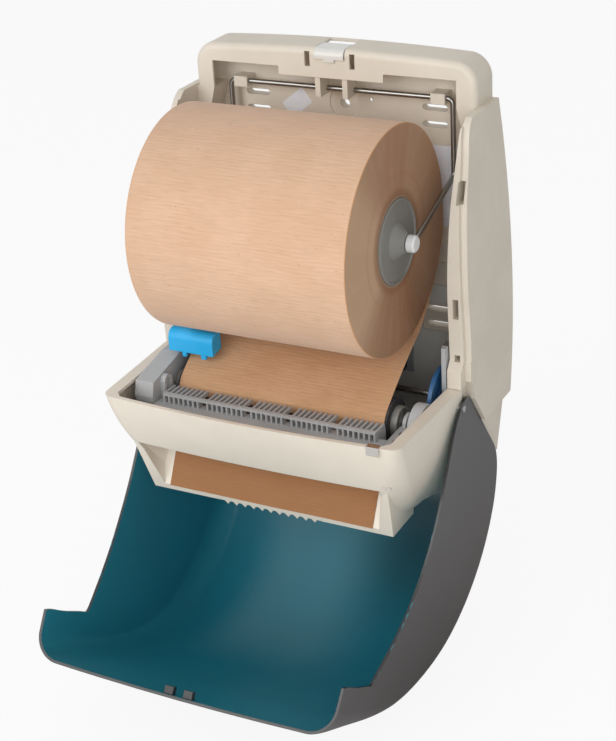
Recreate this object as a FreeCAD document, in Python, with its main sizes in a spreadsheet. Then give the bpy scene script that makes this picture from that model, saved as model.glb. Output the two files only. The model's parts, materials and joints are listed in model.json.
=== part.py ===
import FreeCAD, Part
import math
import os
import re
import sys
import Sketcher
from FreeCAD import Vector

# Frame: millimetres, X to the right, Y towards the wall, Z up.
# The origin is the centre of the four wall-screw slots, on the wall plane.
# "ahead" is a distance in front of the wall, so its Y is negative.

SIZES = {
    # Shared walls and clearances
    "wall": 2.5,
    "seat_gap": 0.3,
    "running_gap": 0.05,
    # Paper roll, its core and the two hubs
    "roll_width": 200,
    "roll_radius": 97,
    "roll_ahead": 126.5,
    "roll_up": 24,
    "core_radius": 38.5,
    "core_wall": 2.2,
    "core_gap": 0.1,
    "hub_gap": 0.2,
    "hub_proud": 1.8,
    "hub_rim": 1.6,
    "hub_dish": 1.4,
    "hub_cone_radius": 16,
    "hub_cone_tip_radius": 7,
    "hub_cone_depth": 8,
    "hub_plug_depth": 15,
    "hub_wall": 2.6,
    "stud_gap": 1,
    "stud_head_radius": 7.4,
    "stud_head_depth": 7,
    "axle_radius": 3,
    "axle_depth": 18,
    # Wire bail
    "wire_radius": 2.3,
    "bail_ahead": 21,
    "bail_up": 114,
    "bail_half": 107,
    "bail_leg_foot": 46,
    "bail_bend": 5,
    "clip_at": 95,
    "clip_width": 13,
    "clip_wall": 2.4,
    "hook_at": 13,
    "hook_width": 5,
    # Rear case
    "panel_ahead": 10.4,
    "case_top": 112,
    "case_top_half": 140,
    "case_mid": -44,
    "case_mid_half": 152,
    "case_step": -162,
    "case_low_half": 150,
    "case_recess_half": 143.5,
    "case_foot": -226,
    "case_foot_half": 136.5,
    "case_floor": -213,
    "case_floor_ahead": 26,
    "case_front_ahead": 104,
    "rail_inner_half": 134,
    "rail_inset": 5.5,
    "rail_proud": 4,
    "rail_slot_length": 18,
    "rail_slot_width": 5,
    "rail_slot_half": 141,
    "rail_slot_high": 57,
    "rail_slot_low": -40,
    "rail_hole_up": -86,
    # Header arch over the roll
    "header_half": 134.3,
    "header_ahead": 36,
    "header_top": 153,
    "header_crown": 3,
    "header_edge": 6,
    "header_corner": 20,
    "arch_half": 116.3,
    "arch_top": 134.5,
    "gusset_up": 62,
    "apron_half": 50,
    "apron_bottom": 127,
    "header_slot_at": 21.4,
    "header_slot_up": 142.8,
    "header_slot_width": 5,
    "header_slot_height": 13,
    # Wall screw slots and keyhole
    "slot_spacing_x": 172,
    "slot_spacing_z": 202.6,
    "slot_length": 23.5,
    "slot_width": 5.5,
    "slot_second_drop": 15,
    "slot_boss": 4,
    "keyhole_up": 98,
    "keyhole_radius": 4.6,
    "keyhole_neck": 4.4,
    "keyhole_rise": 10,
    "keyhole_dish_radius": 16,
    "pilot_hole_at": 25.5,
    "pilot_hole_up": 103,
    "pilot_hole_radius": 1.6,
    # Cover hinge
    "hinge_ahead": 109.5,
    "hinge_up": -128.3,
    "hinge_pin_radius": 3,
    "pin_proud": 0.2,
    "hinge_relief": 21,
    # Front cover
    "cover_wall": 2.5,
    "cover_corner": 24,
    "cover_gap": 1.9,
    "cover_taper": 0.000322,
    "taper_ahead": 100,
    "cover_crown": 2,
    "cover_open_angle": 144.2,
    "catch_half": 9,
    "catch_width": 8,
    "catch_back": 2.8,
    "catch_depth": 5.5,
    "catch_drop": 6.5,
    # Lower tray with its chute
    "tray_joint": 0.3,
    "tray_screw_at": 138.75,
    "tray_screw_high": -118,
    "tray_screw_low": -156,
    "hinge_boss_inner": 138.5,
    "hinge_boss_outer": 145.8,
    "hinge_boss_radius": 7,
    "rim_up": -112.5,
    "rim_ahead": 231.5,
    "rim_half": 141,
    "rim_rear_half": 146,
    "rim_corner": 10,
    "rim_crown": 6,
    "rim_width": 11,
    "rim_front_width": 4,
    "rim_thickness": 3,
    "waist_up": -165,
    "waist_ahead": 212,
    "waist_half": 135.5,
    "waist_rear_half": 143.6,
    "waist_corner": 24,
    "waist_crown": 2,
    "foot_up": -205,
    "foot_ahead": 187,
    "foot_half": 124,
    "foot_rear_half": 138,
    "foot_corner": 40,
    "foot_crown": 2,
    "slot_top_up": -162,
    "slot_top_ahead": 213.5,
    "slot_top_half": 117,
    "slot_low_half": 106,
    "frame_up": -117,
    "frame_ahead": 224.8,
    "frame_back": 150,
    "frame_top_half": 127,
    "frame_low_half": 118,
    "lip_ahead": 193.5,
    "lip_up": -210,
    "lip_bottom": -216,
    "throat_up": -149,
    "throat_ahead": 161.5,
    "throat_half": 104,
    "ceiling_ahead": 172,
    "ceiling_up": -147.5,
    "ceiling_bend_ahead": 186,
    "ceiling_bend_up": -150.5,
    # Tear comb on the lip
    "tear_half": 50,
    "tear_gap": 0.1,
    "tear_edge": 1,
    "tear_height": 6,
    "tear_thickness": 1.6,
    "tooth_count": 11,
    "tooth_pitch": 8.6,
    "tooth_width": 6.4,
    "tooth_height": 4,
    # Drive roller and its gears
    "drive_ahead": 144,
    "drive_up": -132,
    "drive_radius": 20,
    "drive_half": 102,
    "sleeve_wall": 3,
    "shaft_radius": 4,
    "shaft_left": 126,
    "shaft_end_gap": 0.8,
    "bush_radius": 6.5,
    "bush_flange_radius": 8,
    "bush_flange": 1,
    "bush_depth": 2.6,
    "cap_radius": 14,
    "cap_depth": 6,
    "cap_rim": 2,
    "cap_spokes": 6,
    "cap_spoke_width": 1.6,
    "cap_hub_radius": 6,
    "gear_module": 1,
    "drive_teeth": 34,
    "idler_small_teeth": 14,
    "idler_large_teeth": 32,
    "pinion_teeth": 12,
    "train_angle": -48.4,
    "gear_width": 4,
    "gear_gap": 0.8,
    "motor_radius": 14,
    "motor_length": 38,
    "motor_shaft_radius": 1.2,
    "idler_pin_radius": 2,
    # Gear case at the left, bearing block at the right
    "gearcase_inner": 110,
    "gearcase_outer": 128.5,
    "gearcase_wall": 2,
    "gearcase_top": -103,
    "gearcase_bend": 142,
    "gearcase_front_top": -112.4,
    "gearcase_nose": 192.7,
    "gearcase_nose_up": -125.4,
    "gearcase_bottom": -186,
    "gearcase_step": -143.5,
    "bracket_low": -168,
    "bracket_high": -150,
    "gearcase_front": 189,
    "gearcase_low_front": 150,
    "gearcase_rear": 88,
    "raised_panel": 1.5,
    "flange_front": 206,
    "flange_drop": 2.8,
    "ear_ahead": 172.5,
    "ear_up": -117,
    "ear_radius": 6.5,
    "ear_thickness": 5,
    "ear_slot": 2.5,
    "block_inner": 112,
    "block_outer": 130,
    "block_front": 190,
    "block_rear": 127,
    "block_bottom": -146,
    "block_wall": 2,
    "block_window": 5.5,
    "block_window_first": 151,
    "block_window_pitch": 14.2,
    "boss_radius": 9.5,
    "housing_inner": 120,
    "housing_radius": 19.2,
    "post_inner": 128.5,
    "post_outer": 132.5,
    "post_width": 20,
    "post_top": -76,
    "strap_thickness": 0.8,
    # Pinch roller
    "pinch_radius": 7,
    "pinch_shaft_radius": 2,
    "pinch_roller_width": 24,
    "pinch_roller_pitch": 50,
    "pinch_angle": 185,
    "pinch_half": 101.5,
    # Paper between the roll and the lip
    "paper_gap": 0.35,
    "paper_thickness": 0.4,
    "leave_angle": -8,
    "meet_angle": 122,
    "part_angle": -40,
    "sag_high_ahead": 68.7,
    "sag_high_up": -57.7,
    "sag_ahead": 87.7,
    "sag_up": -74.6,
    "sag_low_ahead": 119.5,
    "sag_low_up": -91.5,
    # Comb guide in front of the roller
    "ledge_front": 212,
    "ledge_rear": 179.6,
    "ledge_up": -131,
    "ledge_thickness": 2.5,
    "ledge_half": 109.7,
    "ledge_end": 126,
    "comb_front": 187,
    "comb_rear": 168,
    "comb_up": -122,
    "comb_bar_depth": 4,
    "comb_bar_height": 2.5,
    "finger_height": 4,
    "rib_count": 43,
    "rib_pitch": 4.85,
    "rib_width": 1.8,
    "rib_gap_inner": 4,
    "rib_gap_outer": 13,
    # Transfer lever, its rod and its disc
    "rod_ahead": 97,
    "rod_up": -126,
    "rod_radius": 3,
    "lever_left": -116,
    "lever_right": -71,
    "lever_front": 150,
    "lever_rear": 135,
    "lever_top": -79,
    "lever_bottom": -95.5,
    "lever_lip": -98.5,
    "lever_round": 8,
    "leg_foot": -102.5,
    "lever_wall": 2.5,
    "arm_outer": 109,
    "arm_width": 6,
    "disc_radius": 27,
    "disc_thickness": 3.5,
    "disc_at": 123.5,
    # Batteries and electronics
    "cell_radius": 16.5,
    "cell_length": 60,
    "cell_count": 4,
    "battery_ahead": 44,
    "battery_wall": 2,
    "module_back": 2.5,
    "module_back_top": -62,
    "board_thickness": 1.6,
    "board_half": 62,
    "board_low": -150,
    "board_high": -104,
    "standoff": 4,
    "sensor_half": 18,
    "sensor_ahead": 140,
    "sensor_depth": 12,
    "light_radius": 1.3,
    "light_up": -156.5,
    "light_ahead": 212.9,
    "light_half": 121,
    "light_pitch": 4.6,
    "screw_radius": 1.6,
    "screw_head_radius": 3.4,
    "screw_head": 2,
    # Static clip on the rim
    "clip_strip_half": 5.5,
    "clip_strip_at": 119,
    "clip_strip": 0.5,
    "clip_strip_drop": 7,
    # Latch plate on the header
    "latch_half": 14,
    "latch_ahead": 38,
    "latch_skirt": 1.7,
    "latch_skirt_low": 143.9,
    "latch_sink": 0.1,
    "latch_wall": 2.8,
    "latch_bend": 6.5,
    "latch_travel": 3,
    "latch_gap": 0.4,
    "latch_slot_rear": 2.4,
    "latch_ear": 2.5,
    "tab_half": 5,
    "tab_low": 141.5,
    "hook_rear": 8.5,
    "hook_depth": 2.5,
    "hook_top": 150.3,
    "hook_ramp": 6.5,
    "stem_half": 4,
    "stem_low": 140.5,
    "stem_ahead": 33,
    "stem_depth": 7,
    "spring_radius": 3,
    "spring_wire": 0.35,
    "spring_turns": 5,
    "spring_foot": 129,
}

# Front face of the closed cover and the rear edge of its side, station by station
# from the bottom to the top: front ahead, front up, edge ahead, edge up.
COVER_STATIONS = [
    (234, -109, 121, -140.4),
    (254, -101.5, 111, -138),
    (270, -85, 104, -128),
    (278.5, -60, 100, -112),
    (279.5, -30, 99.5, -88),
    (276, 0, 101.2, -52),
    (268.5, 28, 102, -20),
    (256, 56, 98.5, 16),
    (236, 83.5, 89, 55.7),
    (205, 109, 77, 86),
    (165, 128.5, 67, 107),
    (122, 141.5, 60, 113.4),
    (80, 149.5, 43, 114.1),
    (40, 155, 22, 114.9),
    (0.5, 159, 0.5, 115.7),
]

# Half-width of the closed cover where it meets the case: height, half-width.
COVER_WAIST = [
    (-145, "case_low_half - 0.5"),
    (-100, "(case_low_half + case_mid_half) / 2 - 0.7"),
    (-45, "case_mid_half - 0.5"),
    (5, "case_mid_half - 1.8"),
    (58, "(case_mid_half + case_top_half) / 2 - 0.2"),
    (100, "case_top_half"),
    (116, "case_top_half - 2.2"),
    (165, "case_top_half - 3.2"),
]

doc = FreeCAD.newDocument("TowelDispenser")
sheet = doc.addObject("Spreadsheet::Sheet", "Sizes")
for row, (name, value) in enumerate(SIZES.items(), start=1):
    sheet.set(f"A{row}", name)
    sheet.set(f"B{row}", str(value))
    sheet.setAlias(f"B{row}", name)
doc.recompute()

NODES = []


def bound(text):
    """The expression with each size's name pointing at the sheet."""
    return re.sub(r"[a-z][a-z0-9_]*", lambda m: "Sizes." + m[0] if m[0] in SIZES else m[0], text)


def number(text):
    """The present value of an expression in the sheet's sizes."""
    result = sheet.evalExpression(text)
    return float(getattr(result, "Value", result))


def spot(pair):
    return Vector(number(pair[0]), number(pair[1]), 0)


def place(made, x="0", y="0", z="0"):
    """Binds where a document object stands."""
    for axis, text in zip("xyz", (x, y, z)):
        made.setExpression(f".Placement.Base.{axis}", bound(text))
    return made


def node(label, made):
    """Names a finished sub-part."""
    made.Label = label
    NODES.append(made)
    return made


# Sketched outlines

TURNS = {
    "XY": FreeCAD.Rotation(),
    "XZ": FreeCAD.Rotation(Vector(1, 0, 0), 90),
    "YZ": FreeCAD.Rotation(Vector(1, 1, 1), 120),
}


def hold(sketch, geometry, end, pair):
    """Fixes one end of a sketched line to two expressions."""
    value = spot(pair)
    for kind, size, text in (("DistanceX", value.x, pair[0]), ("DistanceY", value.y, pair[1])):
        index = sketch.addConstraint(Sketcher.Constraint(kind, -1, 1, geometry, end, size))
        sketch.setExpression(f"Constraints[{index}]", bound(text))


def end_at(sketch, geometry, point):
    near = sketch.getPoint(geometry, 1)
    return 1 if near.distanceToPoint(point) < 1e-6 else 2


def draw(sketch, start, steps):
    """Draws a closed outline. A step of four values is an arc through its first two."""
    first = None
    previous = None
    here = start
    for step in steps:
        last = step[-2:]
        a, b = spot(here), spot(last)
        if len(step) == 4:
            via = spot(step[:2])
            edge = sketch.addGeometry(Part.Arc(a, via, b))
            mark = sketch.addGeometry(Part.Point(via), True)
            hold(sketch, mark, 1, step[:2])
            sketch.addConstraint(Sketcher.Constraint("PointOnObject", mark, 1, edge))
        else:
            edge = sketch.addGeometry(Part.LineSegment(a, b))
        begin = end_at(sketch, edge, a)
        hold(sketch, edge, begin, here)
        if previous:
            sketch.addConstraint(Sketcher.Constraint("Coincident", *previous, edge, begin))
        first = first or (edge, begin)
        previous = (edge, 3 - begin)
        here = last
    sketch.addConstraint(Sketcher.Constraint("Coincident", *previous, *first))
    return sketch


def outline(name, plane, start, *steps, offset="0"):
    """A closed sketch that stands off its plane by an offset."""
    made = doc.addObject("Sketcher::SketchObject", name)
    made.Placement = FreeCAD.Placement(Vector(), TURNS[plane])
    normal = {"XY": "z", "XZ": "y", "YZ": "x"}[plane]
    made.setExpression(f".Placement.Base.{normal}", bound(offset))
    closing = () if steps[-1][-2:] == start else (start,)
    return draw(made, start, steps + closing)


def extrude(name, sketch, length, both=False):
    """A prism on a sketch. An XZ sketch grows ahead of the wall, a YZ one along +X."""
    made = doc.addObject("Part::Extrusion", name)
    made.Base = sketch
    made.DirMode = "Normal"
    made.Solid = True
    made.Symmetric = both
    made.setExpression("LengthFwd", bound(length))
    return made


# Primitives and booleans

def box(name, x, y, z):
    """A block between two expressions on each axis."""
    made = doc.addObject("Part::Box", name)
    for size, (low, high) in zip(("Length", "Width", "Height"), (x, y, z)):
        made.setExpression(size, bound(f"({high}) - ({low})"))
    return place(made, x[0], y[0], z[0])


def cylinder(name, axis, start, centre, radius, length):
    """A round bar along one axis. centre holds the two other coordinates in order."""
    made = doc.addObject("Part::Cylinder", name)
    turn = {"x": (Vector(0, 1, 0), 90), "y": (Vector(1, 0, 0), -90), "z": (Vector(0, 0, 1), 0)}[axis]
    made.Placement = FreeCAD.Placement(Vector(), FreeCAD.Rotation(*turn))
    made.setExpression("Radius", bound(radius))
    made.setExpression("Height", bound(length))
    spots = list(centre)
    spots.insert("xyz".index(axis), start)
    return place(made, *spots)


def fuse(name, *parts):
    made = doc.addObject("Part::MultiFuse", name)
    made.Shapes = list(parts)
    return made


def common(name, *parts):
    made = doc.addObject("Part::MultiCommon", name)
    made.Shapes = list(parts)
    return made


def cut(name, base, *tools):
    made = doc.addObject("Part::Cut", name)
    made.Base = base
    made.Tool = tools[0] if len(tools) == 1 else fuse(name + "_tools", *tools)
    return made


def group(name, *parts):
    made = doc.addObject("Part::Compound", name)
    made.Links = list(parts)
    return made


def mirror(name, source):
    """The same piece on the other side of the middle."""
    made = doc.addObject("Part::Mirroring", name)
    made.Source = source
    made.Normal = Vector(1, 0, 0)
    return made


def feature(name, shape):
    made = doc.addObject("Part::Feature", name)
    made.Shape = shape
    return made


def soften(name, base, radius, pick):
    """Rounds the edges of a recomputed solid whose middle point passes a test."""
    doc.recompute()
    size = number(radius)
    edges = []
    for index, edge in enumerate(base.Shape.Edges, start=1):
        middle = edge.valueAt((edge.FirstParameter + edge.LastParameter) / 2)
        if pick(middle, edge):
            edges.append((index, size, size))
    made = doc.addObject("Part::Fillet", name)
    made.Base = base
    made.Edges = edges
    return made


# Turned and toothed pieces

def plane_of(body, role):
    return next(item for item in body.Origin.OriginFeatures if item.Role == role)


def body_sketch(body, name, role, offset="0"):
    sketch = body.newObject("Sketcher::SketchObject", name)
    sketch.AttachmentSupport = [(plane_of(body, role), "")]
    sketch.MapMode = "FlatFace"
    sketch.setExpression(".AttachmentOffset.Base.z", bound(offset))
    return sketch


def turned(name, start, *steps, ahead="0", up="0", x="0"):
    """A piece turned about an axis along X. Its outline holds distances along X and radii."""
    body = doc.addObject("PartDesign::Body", name)
    sketch = body_sketch(body, name + "_outline", "XY_Plane")
    draw(sketch, start, steps + (start,))
    turn = body.newObject("PartDesign::Revolution", name + "_turn")
    turn.Profile = sketch
    turn.ReferenceAxis = (sketch, ["H_Axis"])
    turn.Angle = 360
    return place(body, x, f"-({ahead})", up)


def gear(name, teeth, width, bore, phase):
    """A spur gear that lies in the YZ plane and grows along X."""
    body = doc.addObject("PartDesign::Body", name)
    pitch = f"gear_module * {teeth} / 2"
    root = f"({pitch} - 1.2 * gear_module)"
    blank = body_sketch(body, name + "_blank", "YZ_Plane")
    for radius in (root, bore):
        index = blank.addGeometry(Part.Circle(Vector(), Vector(0, 0, 1), number(radius)))
        blank.addConstraint(Sketcher.Constraint("Coincident", index, 3, -1, 1))
        held = blank.addConstraint(Sketcher.Constraint("Radius", index, number(radius)))
        blank.setExpression(f"Constraints[{held}]", bound(radius))
    disc = body.newObject("PartDesign::Pad", name + "_disc")
    disc.Profile = blank
    disc.setExpression("Length", bound(width))
    tooth_outline = body_sketch(body, name + "_tooth_outline", "YZ_Plane")
    levels = (
        (f"({root} - gear_module * 0.3)", "gear_module * 0.95"),
        (root, "gear_module * 0.95"),
        (f"({pitch})", "gear_module * 0.68"),
        (f"({pitch} + 0.85 * gear_module)", "gear_module * 0.33"),
    )
    right = [(across, out) for out, across in levels]
    left = [(f"-({across})", out) for out, across in reversed(levels)]
    draw(tooth_outline, right[0], tuple(right[1:] + left + right[:1]))
    tooth = body.newObject("PartDesign::Pad", name + "_tooth")
    tooth.Profile = tooth_outline
    tooth.setExpression("Length", bound(width))
    ring = body.newObject("PartDesign::PolarPattern", name + "_teeth")
    ring.Originals = [tooth]
    ring.Axis = (tooth_outline, ["N_Axis"])
    ring.Angle = 360
    ring.setExpression("Occurrences", bound(teeth))
    body.Tip = ring
    angle = f"({phase}) - 90"
    body.Placement = FreeCAD.Placement(Vector(), FreeCAD.Rotation(Vector(1, 0, 0), 0))
    body.setExpression(".Placement.Rotation.Angle", bound(angle))
    body.Placement.Rotation.Axis = Vector(1, 0, 0)
    return body


# Curves that the cover and the case share

WAIST_ROWS = [(up, number(half)) for up, half in COVER_WAIST]


def smooth(points):
    """A smooth curve through points given as (ahead, up) in the middle plane."""
    curve = Part.BSplineCurve()
    curve.interpolate([Vector(0, -ahead, up) for ahead, up in points], False)
    return curve.toShape()


def waist(up):
    """Half-width of the cover beside the case, smoothly between the given heights."""
    rows = WAIST_ROWS
    index = max(1, min(len(rows) - 1, sum(1 for row in rows if row[0] <= up)))
    (z0, w0), (z1, w1) = rows[index - 1], rows[index]
    below = rows[index - 2] if index > 1 else rows[index - 1]
    above = rows[index + 1] if index + 1 < len(rows) else rows[index]
    slope0 = (w1 - below[1]) / (z1 - below[0]) * (z1 - z0)
    slope1 = (above[1] - w0) / (above[0] - z0) * (z1 - z0)
    t = (up - z0) / (z1 - z0)
    return (w0 * (1 + 2 * t) * (1 - t) ** 2 + slope0 * t * (1 - t) ** 2
            + w1 * (3 - 2 * t) * t ** 2 + slope1 * (t - 1) * t ** 2)


def cover_half(point):
    """Half-width of the cover at a point, narrower towards the front."""
    return waist(point.z) * (1 + number("cover_taper") * (point.y + number("taper_ahead")))


def cover_section(front, edge):
    """The U-shaped outline of the cover at one station, from its crown to its rear edge."""
    wall = number("cover_wall")
    corner = number("cover_corner")
    crown = number("cover_crown")
    inward = (edge - front).normalize()

    def at(x, depth):
        return Vector(x, 0, 0) + front + inward * depth

    turn = front + inward * (corner + crown)
    half = cover_half(turn)
    edge_half = cover_half(edge)
    rim = []
    for skin in (0, wall):
        radius = corner - skin
        middle = at(half - corner, corner + crown)
        knee = middle + Vector(radius, 0, 0) * math.sqrt(0.5) - inward * radius * math.sqrt(0.5)
        rim.append([
            Vector(edge_half - skin, edge.y, edge.z),
            at(half - skin, corner + crown),
            knee,
            at(half - corner, crown + skin),
            at(0, skin),
        ])

    def flip(point):
        return Vector(-point.x, point.y, point.z)

    edges = []
    for points in rim:
        foot, hip, knee, shoulder, top = points
        run = [
            Part.makeLine(foot, hip),
            Part.Arc(hip, knee, shoulder).toShape(),
            Part.Arc(shoulder, top, flip(shoulder)).toShape(),
            Part.Arc(flip(shoulder), flip(knee), flip(hip)).toShape(),
            Part.makeLine(flip(hip), flip(foot)),
        ]
        edges.append(run)
    outer, inner = edges
    left = Part.makeLine(flip(rim[0][0]), flip(rim[1][0]))
    right = Part.makeLine(rim[1][0], rim[0][0])
    backward = [
        Part.makeLine(flip(rim[1][0]), flip(rim[1][1])),
        Part.Arc(flip(rim[1][1]), flip(rim[1][2]), flip(rim[1][3])).toShape(),
        Part.Arc(flip(rim[1][3]), rim[1][4], rim[1][3]).toShape(),
        Part.Arc(rim[1][3], rim[1][2], rim[1][1]).toShape(),
        Part.makeLine(rim[1][1], rim[1][0]),
    ]
    return Part.Wire(outer + [left] + backward + [right])


def swing_open(made):
    """Turns a piece that is drawn closed to where it stands with the cover hanging open."""
    turn, low = "cover_open_angle", "hinge_up"
    made.Placement = FreeCAD.Placement(Vector(), FreeCAD.Rotation(Vector(1, 0, 0), number(turn)))
    made.setExpression(".Placement.Rotation.Angle", bound(turn))
    back = f"-hinge_ahead * (1 - cos({turn})) + {low} * sin({turn})"
    rise = f"{low} * (1 - cos({turn})) + hinge_ahead * sin({turn})"
    return place(made, "0", back, rise)


HINGE = ("-hinge_ahead", "hinge_up")
REACH = "max(case_low_half; case_mid_half) + wall"


# Front cover: a tinted shell that hangs from two pins

sections = []
for front_ahead, front_up, edge_ahead, edge_up in COVER_STATIONS:
    front = Vector(0, -front_ahead, front_up)
    edge = Vector(0, -edge_ahead, edge_up)
    sections.append(cover_section(front, edge))
cover_shell = feature("cover_shell", Part.makeLoft(sections, True, False))
cover_bore = cylinder("cover_bore", "x", f"-({REACH})", HINGE,
                      "hinge_pin_radius + running_gap", f"2 * ({REACH})")
front_cover = node("front_cover", swing_open(cut("cover_bored", cover_shell, cover_bore)))

catch_top = f"{COVER_STATIONS[-1][1]} - cover_wall - seat_gap"
catches = [
    box(f"catch_{side}", (f"{at} - catch_width / 2", f"{at} + catch_width / 2"),
        ("-catch_back - catch_depth", "-catch_back"), (f"{catch_top} - catch_drop", catch_top))
    for side, at in (("left", "-catch_half"), ("right", "catch_half"))
]
node("cover_catches", swing_open(group("catch_pair", *catches)))


# Rear case: a moulded back panel, hollow sides and a header arch

def case_prism(name, inset, forward="0"):
    """The side view of the case as a prism. Its front edge follows the cover's rear edge."""
    gap = number("cover_gap") + inset - number(forward)
    top = number("case_top") - inset
    rows = COVER_STATIONS[4:12]
    edge = [(row[2] - gap, row[3]) for row in rows[:-1]] + [(rows[-1][2] - gap, top)]
    front = -number("case_front_ahead") + inset - number(forward)
    back = 1 if inset else 0
    foot = number("case_foot") + inset
    floor = number("case_floor") + inset
    floor_back = -number("case_floor_ahead")
    low = edge[0]
    corners = [
        (-edge[-1][0], top),
        (back, top),
        (back, foot),
        (floor_back, floor),
        (front, floor),
        (front, low[1] - 8),
        (-low[0], low[1]),
    ]
    points = [Vector(0, y, z) for y, z in corners]
    lines = [Part.makeLine(a, b) for a, b in zip(points, points[1:])]
    face = Part.Face(Part.Wire(Part.__sortEdges__([smooth(edge)] + lines)))
    width = number("case_mid_half") + number("wall")
    prism = face.extrude(Vector(2 * width, 0, 0))
    prism.translate(Vector(-width, 0, 0))
    return feature(name, prism)


def case_outline(name, inset, top="case_top"):
    """The front view of the case, drawn in from its outside by an inset."""
    halves = {
        "top": (f"case_top_half - {inset}", top),
        "mid": (f"case_mid_half - {inset}", "case_mid"),
        "low": (f"case_low_half - {inset}", "case_step"),
        "recess": (f"case_recess_half - {inset}", "case_step"),
        "foot": (f"case_foot_half - {inset}", f"case_foot + {inset}"),
    }
    right = {key: value for key, value in halves.items()}
    left = {key: (f"-({x})", z) for key, (x, z) in halves.items()}
    return outline(
        name, "XZ", right["top"],
        right["mid"] + right["low"], right["recess"], right["foot"],
        left["foot"], left["recess"], left["low"], left["mid"] + left["top"],
        offset="2",
    )


BAY = ("-rail_inner_half", "rail_inner_half")
DEEP = "hinge_ahead + 60"

case_block = common("case_block", extrude("case_front_view", case_outline("case_view", "0"), DEEP),
                    case_prism("case_side_view", 0))
relief_view = outline(
    "relief_view", "YZ",
    ("-hinge_ahead - 60", "case_foot - 20"),
    ("-hinge_ahead - 60", "hinge_up + 38"),
    ("-hinge_ahead + hinge_relief / 2", "hinge_up + 38"),
    ("-hinge_ahead + hinge_relief / 2", "hinge_up + hinge_relief"),
    ("-hinge_ahead + hinge_relief * cos(30)", "hinge_up + hinge_relief * sin(30)",
     "-hinge_ahead + hinge_relief", "hinge_up"),
    ("-hinge_ahead + hinge_relief + 27", "case_step"),
    ("-hinge_ahead + hinge_relief + 27", "case_foot - 20"),
    offset="case_recess_half",
)
relief = extrude("relief", relief_view, "20")
bay = box("bay", BAY, ("-hinge_ahead - 60", "-panel_ahead"), ("case_floor + wall", "case_top + 20"))
case_skin = cut("case_skin", case_block, relief, mirror("relief_left", relief), bay)

rail_block = common(
    "rail_block",
    extrude("rail_front_view", case_outline("rail_view", "rail_inset"), DEEP),
    case_prism("rail_side_view", 0, "rail_proud"),
)
rail_keep = box("rail_keep", ("rail_inner_half", "case_mid_half"),
                ("-hinge_ahead - 20", "-panel_ahead"), ("rim_up + 0.5", "case_top - 6"))
rail = common("rail", rail_block, rail_keep)

hollow_block = common(
    "hollow_block",
    extrude("hollow_front_view", case_outline("hollow_view", "wall", "case_top - wall"), DEEP),
    case_prism("hollow_side_view", number("wall")),
)
side_keep = box("side_keep", ("-rail_inner_half - wall", "rail_inner_half + wall"),
                ("-hinge_ahead - 60", "-panel_ahead + wall"), ("case_foot - 5", "case_top + 5"))
relief_lining = extrude(
    "relief_lining",
    outline(
        "relief_lining_view", "YZ",
        ("-hinge_ahead - 60", "case_foot - 20"),
        ("-hinge_ahead - 60", "hinge_up + 38 + wall"),
        ("-hinge_ahead + hinge_relief / 2 + wall", "hinge_up + 38 + wall"),
        ("-hinge_ahead + hinge_relief / 2 + wall", "hinge_up + hinge_relief"),
        ("-hinge_ahead + (hinge_relief + wall) * cos(30)",
         "hinge_up + (hinge_relief + wall) * sin(30)",
         "-hinge_ahead + hinge_relief + wall", "hinge_up"),
        ("-hinge_ahead + hinge_relief + 27 + wall", "case_step + wall"),
        ("-hinge_ahead + hinge_relief + 27 + wall", "case_foot - 20"),
        offset="case_recess_half - wall",
    ),
    "20",
)
hollow = cut("hollow", hollow_block, side_keep, relief_lining,
             mirror("relief_lining_left", relief_lining))


def slot_prism(name, x, z, length, width, start="1", depth="panel_ahead + 2"):
    """A level slot with round ends, cut through the panel."""
    reach = f"({length} - {width}) / 2"
    radius = f"{width} / 2"
    view = outline(
        name + "_view", "XZ",
        (f"{x} - {reach}", f"{z} - {radius}"),
        (f"{x} + {reach}", f"{z} - {radius}"),
        (f"{x} + {reach} + {radius}", f"{z}", f"{x} + {reach}", f"{z} + {radius}"),
        (f"{x} - {reach}", f"{z} + {radius}"),
        (f"{x} - {reach} - {radius}", f"{z}", f"{x} - {reach}", f"{z} - {radius}"),
        offset=start,
    )
    return extrude(name, view, depth)


slots = []
bosses = []
SLOT_ROWS = [
    ("top", "slot_spacing_z / 2"),
    ("top_second", "slot_spacing_z / 2 - slot_second_drop"),
    ("low", "-slot_spacing_z / 2"),
    ("low_second", "-slot_spacing_z / 2 + slot_second_drop"),
]
for row_name, row_up in SLOT_ROWS:
    for side, across in (("left", "-slot_spacing_x / 2"), ("right", "slot_spacing_x / 2")):
        slots.append(slot_prism(f"slot_{row_name}_{side}", across, row_up, "slot_length", "slot_width"))
        bosses.append(box(
            f"boss_{row_name}_{side}",
            (f"{across} - slot_length / 2 - slot_boss", f"{across} + slot_length / 2 + slot_boss"),
            ("-panel_ahead + wall / 2", "0"),
            (f"{row_up} - slot_width / 2 - slot_boss", f"{row_up} + slot_width / 2 + slot_boss"),
        ))
for index, across in enumerate(("-1.0", "-0.36", "0.36", "1.0")):
    middle = f"{across} * (rail_inner_half - 20)"
    bosses.append(box(f"back_rib_{index}", (f"{middle} - wall / 2", f"{middle} + wall / 2"),
                      ("-panel_ahead + wall / 2", "-1"), ("case_foot + 6", "case_top - 3")))
for index, up in enumerate(("40", "-20", "-60", "-150", "-195")):
    bosses.append(box(f"cross_rib_{index}", ("-rail_inner_half", "rail_inner_half"),
                      ("-panel_ahead + wall / 2", "-1"), (f"{up} - wall / 2", f"{up} + wall / 2")))
bosses.append(cylinder("keyhole_boss", "y", "-panel_ahead + wall / 2", ("0", "keyhole_up"),
                       "keyhole_dish_radius", "panel_ahead - wall / 2"))
for index in range(6):
    bosses.append(box(f"panel_rib_{index}", ("-rail_inner_half", "rail_inner_half"),
                      ("-panel_ahead - 2", "-panel_ahead + wall / 2"),
                      (f"62 - {index} * 21", f"65 - {index} * 21")))

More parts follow.
